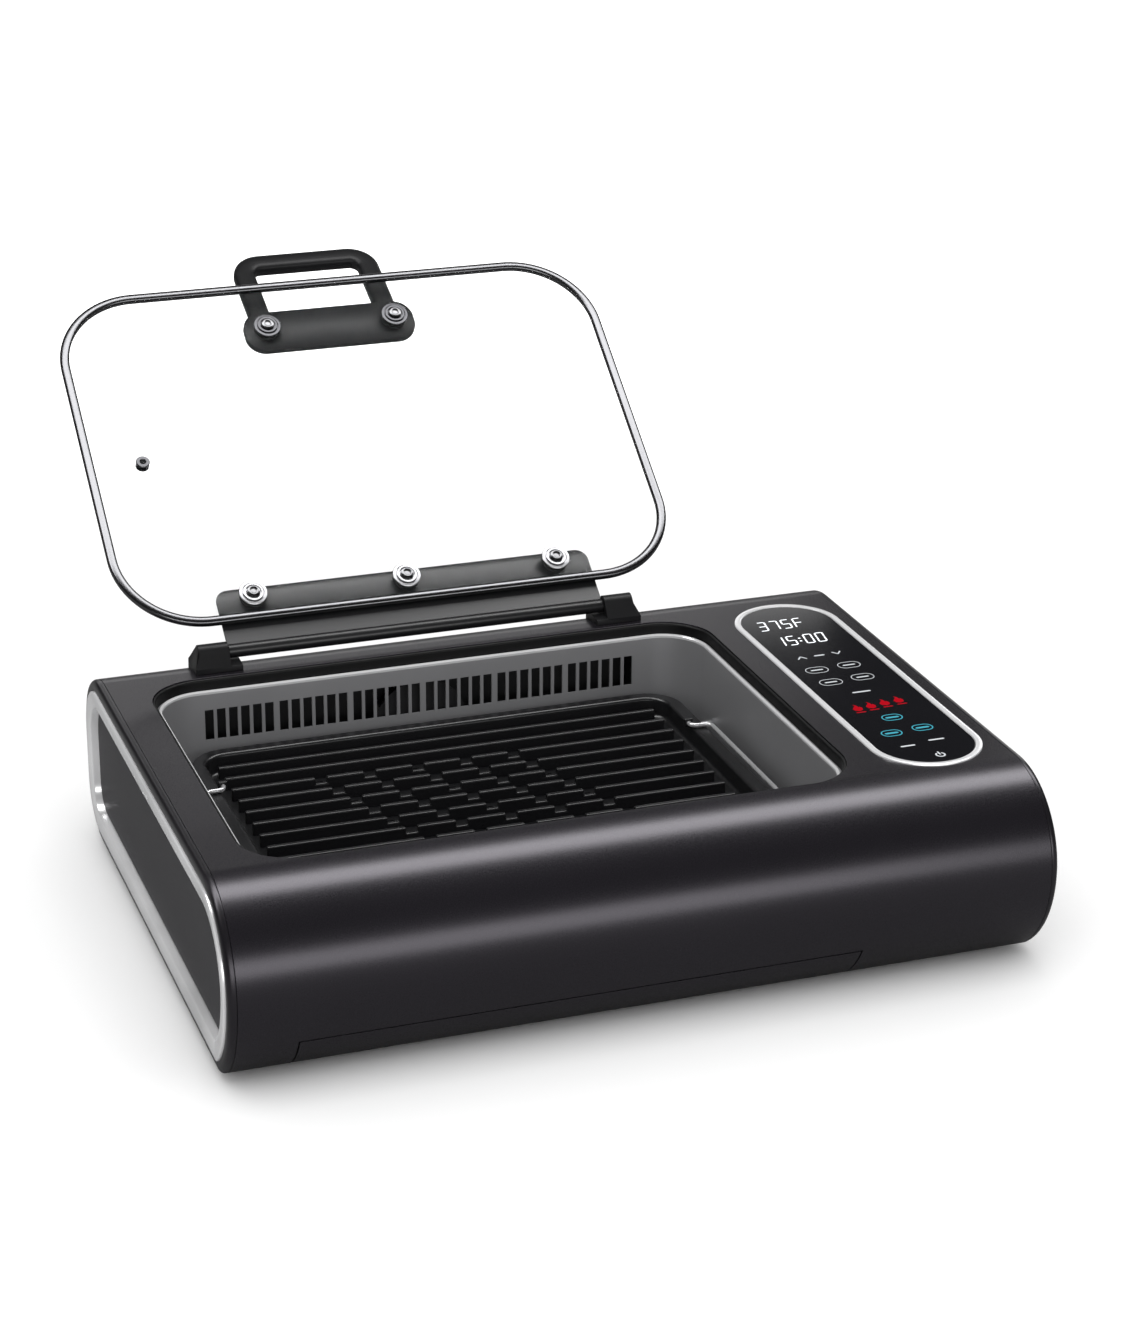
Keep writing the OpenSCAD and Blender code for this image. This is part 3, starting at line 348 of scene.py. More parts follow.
# A clear sheet: light passes straight on, so that it throws no dark shadow.
def clearGlass(name):
    return newMaterial(name, Base_Color=(0.06, 0.075, 0.075, 1), Roughness=0.03,
                       Specular_IOR_Level=0.3, Alpha=0.03)[0]


def glow(name, color, strength):
    return newMaterial(name, Base_Color=(*color, 1), Emission_Color=(*color, 1),
                       Emission_Strength=strength, Specular_IOR_Level=0.0)[0]


casePaint = finish("casePaint", (0.0088, 0.0077, 0.0104), 0.28, grain=2600, bump=0.08, spread=0.03,
                   specular=0.53, Specular_Tint=(0.96, 0.915, 1.0, 1))
bezelPaint = finish("bezelPaint", (0.0078, 0.0070, 0.0090), 0.30, grain=2600, bump=0.08,
                    spread=0.03, Specular_Tint=(0.96, 0.915, 1.0, 1))
sidePlastic = finish("sidePlastic", (0.040, 0.039, 0.043), 0.5, grain=2200, bump=0.2, specular=0.3)
blackPlastic = finish("blackPlastic", (0.012, 0.012, 0.013), 0.42, grain=2400, bump=0.2,
                      specular=0.35)
blackPaint = finish("blackPaint", (0.010, 0.010, 0.011), 0.34, grain=2400, bump=0.08, specular=0.4)
# A black trim round the opening. Its colour is pushed almost to zero as painted shade in the
# recessed gutter.
blackTrimPaintedShade = finish("blackTrimPaintedShade", (0.002, 0.002, 0.0024), 0.5, grain=2400, specular=0.2)
handlePlastic = finish("handlePlastic", (0.010, 0.010, 0.011), 0.40, grain=2600, bump=0.2,
                       specular=0.2)
footRubber = finish("footRubber", (0.02, 0.02, 0.02), 0.7, grain=1500, bump=0.3)
trimMetal = metal("trimMetal", (0.90, 0.90, 0.91), 0.36, 0.26, 700, 0.05, 0.02)
ringMetal = metal("ringMetal", (0.88, 0.88, 0.89), 0.45, 0.24, 700, 0.32, 0.02)
chrome = metal("chrome", (0.78, 0.78, 0.79), 1, 0.14, drift=0.03, spread=0.03)
wireSteel = metal("wireSteel", (0.60, 0.60, 0.61), 0.6, 0.25, spread=0.03)
rimSteel = metal("rimSteel", (0.125, 0.125, 0.13), 1, 0.24, spread=0.03)
washerSteel = metal("washerSteel", (0.30, 0.30, 0.31), 0.8, 0.26)
washerDark = metal("washerDark", (0.060, 0.060, 0.064), 0.9, 0.28)
screwSteel = metal("screwSteel", (0.14, 0.14, 0.145), 1, 0.22)
linerSteel = finish("linerSteel", (0.32, 0.32, 0.33), 0.42, metallic=0.45, grain=1400, drift=0.1)
innerSheet = finish("innerSheet", (0.5, 0.5, 0.52), 0.4, metallic=1, grain=800)
darkSheet = finish("darkSheet", (0.03, 0.03, 0.032), 0.5, metallic=0.5, grain=800)
heaterSteel = finish("heaterSteel", (0.12, 0.11, 0.1), 0.45, metallic=0.9, grain=600, bump=0.15,
                     drift=0.3)
plateCoat = finish("plateCoat", (0.009, 0.009, 0.010), 0.3, grain=1300, bump=0.3)
basketCoat = finish("basketCoat", (0.020, 0.026, 0.036), 0.36, metallic=0.6, grain=1600, bump=0.15)
panelGlass = finish("panelGlass", (0.006, 0.006, 0.008), 0.1, grain=300, bump=0.0, spread=0.02)
boardGreen = finish("boardGreen", (0.01, 0.10, 0.045), 0.4, grain=800)
copperCoil = finish("copperCoil", (0.45, 0.2, 0.07), 0.4, grain=700, stretch=(1, 6, 1))
relayBlue = finish("relayBlue", (0.02, 0.07, 0.28), 0.3)
brass = finish("brass", (0.7, 0.5, 0.2), 0.25, metallic=1)
lidClear = clearGlass("lidClear")
displayWhite = glow("displayWhite", (0.82, 0.85, 0.88), 0.8)
iconWhite = glow("iconWhite", (0.5, 0.52, 0.54), 0.4)
iconRed = glow("iconRed", (0.34, 0.004, 0.010), 0.25)
iconTeal = glow("iconTeal", (0.05, 0.30, 0.38), 0.35)
print("materials made")

case = {
    "shoulderRadius": 59.5 * mm,
    "bellyRadius": 76 * mm,
    "lipRadius": 7 * mm,
    "backTopRadius": 48 * mm,
    "backLowRadius": 38 * mm,
    "sheet": 1.5 * mm,
    "arcSteps": 36,
    "seamHalf": 182 * mm,          # seam round the drip tray's front
    "seamHeight": 27 * mm,
    "seamDepth": -157.5 * mm,
    "trayX": -43 * mm,
    "panelX": 217 * mm,
    "edge": 1.1 * mm,
    "openingGap": 2.2 * mm,
    "panelCut": (71 * mm, 289.5 * mm),
    "underCut": ((-222 * mm, -141 * mm), (222 * mm, 149 * mm)),
    "inlet": (200 * mm, 55 * mm, 30.4 * mm, 22.4 * mm),  # middle, width and height
    "outlets": (14, 3),            # columns and rows of slots at the back
    "outletStart": (-148 * mm, 48 * mm),
    "outletPitch": (16 * mm, 8 * mm),
    "outletSize": (10 * mm, 4 * mm),
}
shellX = 263.4 * mm
openWidth, openDepth, openRadius = 395 * mm, 286.5 * mm, 34 * mm


# Side outline of the case as depth and height, moved inwards by an inset.
def caseOutline(inset):
    front, back, steps = -caseDepth / 2, caseDepth / 2, case["arcSteps"]
    shoulder, belly = case["shoulderRadius"], case["bellyRadius"]
    top, low = case["backTopRadius"], case["backLowRadius"]
    belt = caseHeight - shoulder
    lip = max(case["lipRadius"] - inset, 1.5 * mm)
    reach = belly - inset - lip
    turn = math.asin((belt - inset - lip) / reach)
    lipY = front + belly - reach * math.cos(turn)
    turn = math.degrees(turn)
    return (arcPoints(front + shoulder, belt, shoulder - inset, 90, 180, steps)
            + arcPoints(front + belly, belt, belly - inset, 180, 180 + turn, steps)[1:]
            + arcPoints(lipY, inset + lip, lip, 180 + turn, 270, 10)[1:]
            + arcPoints(back - low, low, low - inset, 270, 360, steps)
            + arcPoints(back - top, caseHeight - top, top - inset, 0, 90, steps))


# Loops of the case's outline across the length, one for each (x, inset) of a section.
def caseLoops(section):
    return [[(x, y, z) for y, z in caseOutline(inset)] for x, inset in section]


def prism(outline, low, high):
    return loft("cutter", [[(x, y, z) for x, y in outline] for z in (low, high)])


def moved(obj, x=0, y=0):
    place(obj, Matrix.Translation((x, y, 0)))
    return obj


# A cutter through the case's back wall, from its middle and its size.
def backCutter(x, z, width, height):
    return boxAt((x - width / 2, caseDepth / 2 - 6 * mm, z - height / 2),
                 (x + width / 2, caseDepth / 2 + 1 * mm, z + height / 2))


def buildCase():
    sheet, gap = case["sheet"], case["openingGap"]
    section = [(-shellX, 0), (shellX, 0), (shellX, sheet), (-shellX, sheet)]
    shell = loft("caseWrap", caseLoops(section), ring=True)
    low, high = caseHeight - 4 * mm, caseHeight + 4 * mm
    opening = prism(roundedOutline(openWidth + 2 * gap, openDepth + 2 * gap, openRadius + gap),
                    low, high)
    width, depth = case["panelCut"]
    panel = prism(roundedOutline(width, depth, width / 2 - 0.01 * mm, 24), low, high)
    front = boxAt((case["trayX"] - case["seamHalf"], -caseDepth / 2 - 9 * mm, -9 * mm),
                  (case["trayX"] + case["seamHalf"], case["seamDepth"], case["seamHeight"]))
    below = boxAt(*[(x, y, z) for (x, y), z in zip(case["underCut"], (-3 * mm, 3 * mm))])
    cutters = [moved(opening, x=cookX), moved(panel, x=case["panelX"]), front, below,
               backCutter(*case["inlet"])]
    columns, rows = case["outlets"]
    for i in range(columns):
        for j in range(rows):
            x = case["outletStart"][0] + case["outletPitch"][0] * i
            z = case["outletStart"][1] + case["outletPitch"][1] * j
            cutters.append(backCutter(x, z, *case["outletSize"]))
    cut(shell, cutters)
    bevelEdges(shell, case["edge"], segments=3, angle=50)
    finishPiece(shell, "body", casePaint, ["case_shell"], weighted=True,
                where=caseFrame)


ends = {
    "bezelX": 268.7 * mm,          # outermost plane of the black bezel
    "bezelWidth": 7.2 * mm,
    "bezelRound": 4.2 * mm,
    "ringInset": 7.5 * mm,
    "ringWidth": 12 * mm,
    "ringCrest": 270 * mm,
    "ringFall": 0.9 * mm,          # how far the bright band falls from its crest to its inner edge
    "panelX": 264.2 * mm,
    "panelGap": 1.8 * mm,          # the dark line between the bright band and the panel
}


def buildEnds():
    rim, radius, outside = ends["bezelWidth"], ends["bezelRound"], ends["bezelX"]
    band = [(shellX, rim)] + inMm([(0, 0.5), (0.35, 0.12), (0.9, 0)], shellX)
    band += [(outside - radius + x, radius - y) for x, y in arcPoints(0, 0, radius, 90, 0, 8)]
    band += [(outside - 0.1 * mm, rim - 0.2 * mm), (outside - 0.4 * mm, rim)]
    inset, width = ends["ringInset"], ends["ringWidth"]
    crest, fall = ends["ringCrest"], ends["ringFall"]
    face, gap = ends["panelX"], ends["panelGap"]
    root = face - 6 * mm
    slope, run = inset + 3.4 * mm, width - 4.4 * mm
    ring = [(root, inset)]
    ring += inMm([(-1.6, 0), (-0.6, 0.3), (-0.15, 1), (0, 2.2), (-0.05, 3.4)], crest, inset)
    ring += [(crest - fall * (i / 5) ** 1.5, slope + run * i / 5) for i in range(1, 6)]
    ring += inMm([(-0.3, -0.4), (-0.9, 0)], crest - fall, inset + width)
    ring += [(root, inset + width)]
    low, seat = inset + width + gap, inset + width + 0.1 * mm
    plaque = [(root, seat), (face - 4 * mm, seat), (face - 4 * mm, low), (face - 0.4 * mm, low),
              (face, low + 0.4 * mm)]
    for side, name in ((1, "Right"), (-1, "Left")):
        mirror = caseFrame @ Matrix.Scale(side, 4, (1, 0, 0))
        node = name.lower()
        bezel = loft("bezel" + name, caseLoops(band), ring=True)
        finishPiece(bezel, "body", bezelPaint, ["bezel_" + node], where=mirror)
        trim = loft("trimRing" + name, caseLoops(ring), ring=True)
        finishPiece(trim, "body", ringMetal, ["trim_ring_" + node], where=mirror)
        panel = loft("sidePanel" + name, caseLoops(plaque))
        finishPiece(panel, "body", sidePlastic, ["side_panel_" + node],
                    where=mirror)


buildCase()
buildEnds()
print("case and ends built")

liner = {
    "ledge": 3.6 * mm,
    "trimTop": 121.3 * mm,
    "trimLow": 113.2 * mm,
    "trimRoll": 1.6 * mm,
    "sheet": 1.2 * mm,
    "bottom": 16 * mm,
    "corner": 9 * mm,
    "ventX": -44 * mm,
    "ventGroups": 6,
    "ventsPerGroup": 6,
    "ventWidth": 6.1 * mm,
    "ventPitch": 8.4 * mm,
    "groupPitch": 52.3 * mm,
    "ventLow": 78.5 * mm,
    "ventHigh": 100.5 * mm,
}


def buildOpening():
    roller, top, low = liner["trimRoll"], liner["trimTop"], liner["trimLow"]
    lip = [(-2 * mm, low), (-2 * mm, top - 0.3 * mm), (-1.7 * mm, top)]
    lip += arcPoints(-roller, top - roller, roller, 90, 0) + [(0, low)]
    trim = loft("openingTrim", rectLoops(openWidth, openDepth, openRadius, lip), ring=True)
    # The trim's near-zero colour is painted shade for the gutter.
    finishPiece(trim, "body", blackTrimPaintedShade, ["opening_trim"], where=cookFrame)

    ledge, sheet, corner = liner["ledge"], liner["sheet"], liner["corner"]
    bottom = liner["bottom"]
    floor = bottom + sheet
    section = [(ledge + corner, floor)]
    section += arcPoints(ledge + corner, floor + corner, corner, 260, 180, 8)
    section += inMm([(0, -1.5), (-0.4, -0.4), (-1.2, -0.05)], ledge, low)
    section += [(-2 * mm, low - 0.05 * mm), (-2 * mm, low - sheet),
                (ledge - sheet, low - sheet - 0.1 * mm), (ledge - sheet, bottom + corner),
                (ledge + corner - sheet, bottom)]
    bowl = loft("cavityLiner", rectLoops(openWidth, openDepth, openRadius, section))
    vents = []
    back, half = openDepth / 2 - ledge, liner["ventWidth"] / 2
    groups, perGroup = liner["ventGroups"], liner["ventsPerGroup"]
    width = liner["groupPitch"] * (groups - 1) + liner["ventPitch"] * (perGroup - 1)
    for group in range(groups):
        for vent in range(perGroup):
            x = liner["ventX"] - cookX - width / 2
            x += group * liner["groupPitch"] + vent * liner["ventPitch"]
            vents.append(boxAt((x - half, back - 3 * mm, liner["ventLow"]),
                               (x + half, back + 4 * mm, liner["ventHigh"])))
    cut(bowl, vents)
    finishPiece(bowl, "body", linerSteel, ["cavity_liner"], weighted=True,
                where=cookFrame)

    bead = inMm([(-2.2, -0.05), (-2.2, 0.6), (-1.6, 1.2), (-0.5, 1.1), (0.1, 0.3), (0.1, -1.2),
                 (0, -1.3)], ledge, low)
    edge = loft("linerEdge", rectLoops(openWidth, openDepth, openRadius, bead), ring=True)
    finishPiece(edge, "body", trimMetal, where=cookFrame)


buildOpening()
print("opening built")

basket = {
    "width": 344.4 * mm,
    "depth": 254.4 * mm,
    "radius": 22.2 * mm,
    "sheet": 1 * mm,
    "rim": 3.2 * mm,
    "bottom": 28 * mm,
    "top": 71.7 * mm,
    "corner": 9 * mm,
    "slotColumns": 6,
    "slotRows": 4,
    "slotWidth": 38 * mm,
    "slotHeight": 4.6 * mm,
    "columnPitch": 43 * mm,
    "rowPitch": 6.8 * mm,
    "slotLow": 34 * mm,
    "floorSlots": [(10, 42 * mm, 22 * mm), (16, 88 * mm, 26 * mm)],  # count, radius and length
    "floorSlotLean": 40,
}


def buildBasket():
    sheet, rim, corner = basket["sheet"], basket["rim"], basket["corner"]
    bottom, top = basket["bottom"], basket["top"]
    section = [(corner + 4 * mm, bottom + sheet)]
    section += arcPoints(corner, bottom + sheet + corner, corner, 260, 180, 8)
    section += [(0, top - 1.2 * mm)] + arcPoints(-rim / 2, top - rim / 2, rim / 2, 20, 90)
    section += arcPoints(-rim / 2, top - rim / 2, rim / 2, 110, 250, 10)
    section += [(-sheet, top - rim + 0.2 * mm), (-sheet, bottom + corner)]
    section += arcPoints(corner - sheet, bottom + corner, corner, 190, 260, 7)
    section += [(corner + 4 * mm, bottom)]
    shell = loft("basketShell", rectLoops(basket["width"], basket["depth"], basket["radius"],
                                          section))
    cutters = []
    half, y = basket["slotWidth"] / 2, basket["depth"] / 2
    for i in range(basket["slotColumns"]):
        for j in range(basket["slotRows"]):
            x = basket["columnPitch"] * (i - (basket["slotColumns"] - 1) / 2)
            z = basket["slotLow"] + basket["rowPitch"] * j
            for side in (-1, 1):
                near, far = sorted((side * (y - 1 * mm), side * (y + 2 * mm)))
                cutters.append(boxAt((x - half, near, z),
                                     (x + half, far, z + basket["slotHeight"])))
    lean = Matrix.Rotation(math.radians(basket["floorSlotLean"]), 4, "Z")
    for count, radius, length in basket["floorSlots"]:
        for i in range(count):
            slot = boxAt((-length / 2, -2 * mm, bottom - 1 * mm),
                         (length / 2, 2 * mm, bottom + 2 * mm))
            turn = Matrix.Rotation(2 * math.pi * i / count, 4, "Z")
            place(slot, turn @ Matrix.Translation((radius, 0, 0)) @ lean)
            cutters.append(slot)
    cut(shell, cutters)
    finishPiece(shell, "basket", basketCoat, ["basket"], weighted=True,
                where=cookFrame)


plate = {
    "width": 352 * mm,
    "depth": 262 * mm,
    "radius": 26 * mm,
    "overhang": 4.6 * mm,
    "skirt": 5 * mm,
    "low": 72 * mm,
    "top": 75 * mm,
    "webLow": 58 * mm,
    "webTop": 61.5 * mm,
    "ribs": 13,
    "ribHeight": 8.5 * mm,
    "ribWidth": 4 * mm,
    "notchPitch": 34 * mm,
    "notchShift": 7 * mm,
    "notchWidth": 8 * mm,
    "drain": (16 * mm, 4 * mm),
    "pivotInset": 11 * mm,         # the wire handle's pivot, from the side and from the top
    "pivotLift": 1.9 * mm,
    "earY": (-68.5 * mm, 65.5 * mm),
    "earHalf": 3.1 * mm,
    "earThick": 3 * mm,
}


def buildPlate():
    overhang, skirt = plate["overhang"], plate["skirt"]
    low, top, webLow, webTop = plate["low"], plate["top"], plate["webLow"], plate["webTop"]
    well = overhang + skirt
    section = [(well + 5 * mm, webTop)]
    section += arcPoints(well + 3 * mm, webTop + 3 * mm, 3 * mm, 270, 180)
    section += arcPoints(well - 2.4 * mm, top - 2.4 * mm, 2.4 * mm, 0, 90)
    section += [(2.2 * mm, top)] + arcPoints(1.2 * mm, top - 1.2 * mm, 1.2 * mm, 90, 180, 5)
    section += [(0, low + 0.4 * mm), (0.4 * mm, low), (overhang, low),
                (overhang, webLow + 2 * mm), (overhang + 2 * mm, webLow)]
    pan = loft("grillPlate", rectLoops(plate["width"], plate["depth"], plate["radius"], section))
    middle = (plate["ribs"] - 1) / 2
    pitch = (plate["depth"] - 2 * well) / plate["ribs"]
    halfX, halfY = [size / 2 for size in plate["drain"]]
    drains = []
    for i in range(0, plate["ribs"] - 1, 2):
        row = i - middle + 0.5
        for c in (-2, 0, 2):
            x, y = c * plate["notchPitch"] - plate["notchShift"] * row, pitch * row
            drains.append(boxAt((x - halfX, y - halfY, webLow - 1 * mm),
                                (x + halfX, y + halfY, webTop + 1 * mm)))
    cut(pan, drains)
    length = plate["width"] - 2 * well - 18 * mm
    half, notch = plate["ribWidth"] / 2, plate["notchWidth"] / 2
    ribTop = webTop + plate["ribHeight"]
    ribs = []
    for i in range(plate["ribs"]):
        rib = boxAt((-length / 2, -half, webTop - 1 * mm), (length / 2, half, ribTop), "rib")
        if 1 < i < plate["ribs"] - 2:
            notches = []
            for c in range(-2, 3):
                x = c * plate["notchPitch"] - plate["notchShift"] * (i - middle)
                notches.append(boxAt((x - notch, -2 * half, webTop + plate["ribHeight"] / 2),
                                     (x + notch, 2 * half, ribTop + 1 * mm)))
            cut(rib, notches)
        bevelEdges(rib, 1.1 * mm, segments=3)
        ribs.append(moved(rib, y=pitch * (i - middle)))
    ears = []
    pivotX, pivotZ = plate["width"] / 2 - plate["pivotInset"], top + plate["pivotLift"]
    reach, thick = plate["earHalf"], plate["earThick"]
    for side in (-1, 1):
        for y in plate["earY"]:
            ear = boxAt((side * pivotX - reach, y, top - 1 * mm),
                        (side * pivotX + reach, y + thick, pivotZ + reach))
            bevelEdges(ear, 0.8 * mm, segments=3)
            ears.append(ear)
    whole = joinAll([pan] + ribs + ears, "grillPlate")
    finishPiece(whole, "plate", plateCoat, ["grill_plate", "plate_ears"],
                weighted=True, where=cookFrame)


# A section carried along a flat path, its own first axis across the path and its second upright.
def sweep(name, path, section, normal):
    loops = []
    for i, point in enumerate(path):
        before, after = path[max(i - 1, 0)], path[min(i + 1, len(path) - 1)]
        side = (Vector(after) - Vector(before)).normalized().cross(normal).normalized()
        loops.append([Vector(point) + side * u + normal * v for u, v in section])
    return loft(name, loops)


# Rounds the corners of a path of flat points.
def filleted(points, radius, steps=8):
    out = [Vector(points[0])]
    for a, b, c in zip(points, points[1:], points[2:]):
        a, b, c = Vector(a), Vector(b), Vector(c)
        u, v = (a - b).normalized(), (c - b).normalized()
        half = u.angle(v) / 2
        start, end = b + u * radius / math.tan(half), b + v * radius / math.tan(half)
        centre = b + (u + v).normalized() * radius / math.sin(half)
        start, end = (start - centre).normalized(), (end - centre).normalized()
        out += [centre + start.slerp(end, i / steps) * radius for i in range(steps + 1)]
    out.append(Vector(points[-1]))
    return out


wire = {
    "radius": 1.6 * mm,
    "bend": 5 * mm,
    "span": 120 * mm,
    "stub": 10 * mm,               # what reaches past the grip's span into each ear
    "plateReach": 14 * mm,
    "basketReach": 18 * mm,
    "basketPivot": (3.8 * mm, 21.6 * mm),
}


# A wire handle about its pivot along Y, with its grip at +X.
def bailPath(reach):
    half, end = wire["span"] / 2, wire["span"] / 2 + wire["stub"]
    corners = [(0, -end, 0), (0, -half, 0), (reach, -half, 0), (reach, half, 0), (0, half, 0),
               (0, end, 0)]
    return filleted(corners, wire["bend"])


def buildBails():
    inset, lift = wire["basketPivot"]
    places = {
        "plate": (plate["width"] / 2 - plate["pivotInset"], plate["top"] + plate["pivotLift"], 0),
        "basket": (basket["width"] / 2 - inset, basket["bottom"] + lift, math.pi / 2),
    }
    for kind, (x, z, turn) in places.items():
        for side, name in ((1, "right"), (-1, "left")):
            bail = wireAlong(kind + "Bail" + name.capitalize(), bailPath(wire[kind + "Reach"]),
                             wire["radius"])
            place(bail, Matrix.Translation((x, 0, z)) @ Matrix.Rotation(turn, 4, "Y"))
            mirror = cookFrame @ Matrix.Scale(side, 4, (1, 0, 0))
            finishPiece(bail, kind + "_handle_" + name, wireSteel,
                        [kind + "_bail_" + name], angle=50, where=mirror)


buildBasket()
buildPlate()
buildBails()
print("basket and grill plate built")

lid = {
    "width": 409 * mm,
    "depth": 290 * mm,
    "radius": 62 * mm,
    "back": 18 * mm,               # from the hinge axis to the lid's edge
    "rimWidth": 6.8 * mm,
    "rimThick": 6 * mm,
    "plane": -6.75 * mm,
    "plateLow": -3.3 * mm,
    "plateThick": 2 * mm,
    "plateWidth": 272 * mm,
    "plateReach": 47 * mm,
    "barrel": 4.8 * mm,
    "washerRadius": 10 * mm,
    "washerThick": 2 * mm,
    "washer": [(0.97, 0), (1, 0.1), (1, 0.35), (0.965, 0.5), (0.8, 0.56), (0.79, 0.15),
               (0.74, 0.15), (0.73, 0.9), (0.7, 1), (0.57, 1), (0.56, 0.3), (0.5, 0.3),
               (0.49, 1), (0.3, 1)],   # shares of its radius and thickness
    "glassInset": 2.1 * mm,
    "glassHalf": 1.95 * mm,
    "fold": 0.52,                  # where the plate is cranked, as a share of its reach
    "plateCorner": 9 * mm,
    "grommet": (-163.5 * mm, -158 * mm),
}
lidMiddle = -lid["back"] - lid["depth"] / 2
washerSpots = {
    "hinge_washers": [(-110.5 * mm, -39 * mm), (0, -39 * mm), (110.5 * mm, -39 * mm)],
    "handle_washers": [(-48.5 * mm, -267.5 * mm), (48.5 * mm, -267.5 * mm)],
}


# Points round a superellipse, from a flat oval towards a rounded box as the power grows.
def softBox(width, height, power=3.2, steps=28):
    points = []
    for i in range(steps):
        a = 2 * math.pi * i / steps
        c, s = math.cos(a), math.sin(a)
        points.append((width / 2 * math.copysign(abs(c) ** (2 / power), c),
                       height / 2 * math.copysign(abs(s) ** (2 / power), s)))
    return points


# Loops of the lid's outline, one for each (inset, height) of a section.
def lidLoops(section):
    return rectLoops(lid["width"], lid["depth"], lid["radius"], section, (0, lidMiddle), 24)


def buildRim():
    section = [(lid["rimWidth"] / 2 - x, lid["plane"] + z)
               for x, z in softBox(lid["rimWidth"], lid["rimThick"], 2.5, 20)]
    rim = loft("lidRim", lidLoops(section), ring=True)
    finishPiece(rim, "lid", rimSteel, ["lid_rim"], angle=60, where=lidFrame)


def buildGlass():
    side, edge = lid["glassInset"], 0.3 * mm
    low, high = lid["plane"] - lid["glassHalf"], lid["plane"] + lid["glassHalf"]
    section = [(side + edge, low), (side, low + edge), (side, high - edge), (side + edge, high)]
    glass = loft("lidGlass", lidLoops(section))
    finishPiece(glass, "lid", lidClear, ["lid_glass"], angle=25, where=lidFrame)


def buildHingePlate():
    low, thick, barrel = lid["plateLow"], lid["plateThick"], lid["barrel"]
    reach, half = lid["plateReach"], lid["plateWidth"] / 2
    fold, radius = -reach * lid["fold"], lid["plateCorner"]
    rows = [(half, y) for y in (-1 * mm, -3 * mm, -6 * mm, fold + 0.8 * mm, fold - 0.8 * mm)]
    rows += [(half - radius + x, -reach + radius + y)
             for x, y in arcPoints(0, 0, radius, 0, -90, 8)]
    loops = []
    for x, y in rows:
        under = low + (0.35 * mm if y > fold else 0)
        loops.append([(-x, y, under), (x, y, under), (x, y, low + thick), (-x, y, low + thick)])
    sheet = loft("hingePlate", loops)
    bevelEdges(sheet, 0.5 * mm)
    bpy.ops.mesh.primitive_cylinder_add(vertices=40, radius=barrel, depth=2 * half,
                                        rotation=(0, math.pi / 2, 0))
    roller = bpy.context.object
    bpy.ops.object.transform_apply()
    bevelEdges(roller, 0.4 * mm, angle=60)
    whole = joinAll([sheet, roller], "hingePlate")
    finishPiece(whole, "lid", blackPaint, ["hinge_plate"], angle=45,
                where=lidFrame)


def buildWashers():
    r, t = lid["washerRadius"], lid["washerThick"]
    face = lid["plane"] - 2 * mm
    head = face - t
    profile = [(r * u, face - t * v) for u, v in lid["washer"]]
    for node, spots in washerSpots.items():
        steel = washerSteel if node == "hinge_washers" else washerDark
        washers = [turned("washer", spot, profile) for spot in spots]
        finishPiece(joinAll(washers, node.replace("_w", "W")), "lid", steel,
                    [node], angle=30, where=lidFrame)
    screw = inMm([(4.75, 0), (4.75, -0.9), (4.4, -1.5), (3.6, -1.8), (2.6, -1.8), (2.3, -1.6),
                  (2.2, -0.7)], 0, head)
    spots = washerSpots["hinge_washers"] + washerSpots["handle_washers"]
    screws = joinAll([turned("screw", spot, screw, 24) for spot in spots], "lidScrews")
    finishPiece(screws, "lid", screwSteel, ["lid_screws"], where=lidFrame)
    eyelet = inMm([(1.95, 0), (1.95, 2.6), (2.4, 3), (4.4, 3), (4.9, 2.5), (4.9, 2), (3.1, 2),
                   (3.1, -2), (4.9, -2), (4.9, -2.5), (4.4, -3), (2.4, -3), (1.95, -2.6)],
                  0, lid["plane"])
    grommet = turned("steamGrommet", lid["grommet"], eyelet, 40, closed=True)
    finishPiece(grommet, "lid", washerDark, ["steam_grommet"], angle=40,
                where=lidFrame)


handle = {
    "barWidth": 129 * mm,
    "barDepth": 35 * mm,
    "barThick": 7 * mm,
    "barRound": 0.42,              # corner radius, as a share of the bar's depth
    "barEdge": 2.6 * mm,
    "rootY": -267.5 * mm,
    "rootZ": 2.2 * mm,
    "loopWidth": 112 * mm,
    "reach": 88 * mm,
    "band": 16 * mm,
    "thick": 11 * mm,
    "bend": 22 * mm,
    "tilt": 12,
}


def buildHandle():
    half = handle["loopWidth"] / 2 - handle["band"] / 2
    far = -handle["reach"] + handle["band"] / 2
    path = filleted([(-half, 0, 0), (-half, far, 0), (half, far, 0), (half, 0, 0)],
                    handle["bend"] - handle["band"] / 2, 14)
    loop = sweep("loop", path, softBox(handle["band"], handle["thick"]), Vector((0, 0, 1)))
    place(loop, Matrix.Translation((0, handle["rootY"], handle["rootZ"]))
          @ Matrix.Rotation(-math.radians(handle["tilt"]), 4, "X"))
    low, high = lid["plateLow"], lid["plateLow"] + handle["barThick"]
    width, depth, edge = handle["barWidth"], handle["barDepth"], handle["barEdge"]
    section = [(1 * mm, low), (0, low + 0.8 * mm)]
    section += arcPoints(edge, high - edge, edge, 180, 90, 8)
    bar = loft("handleBar", rectLoops(width, depth, depth * handle["barRound"], section,
                                      (0, handle["rootY"])))
    whole = joinAll([loop, bar], "lidHandle")
    finishPiece(whole, "lid", handlePlastic, ["lid_handle"], angle=40,
                where=lidFrame)


hingeTop = {"scale": (0.84, 0.9, 1), "edge": 4.5 * mm}


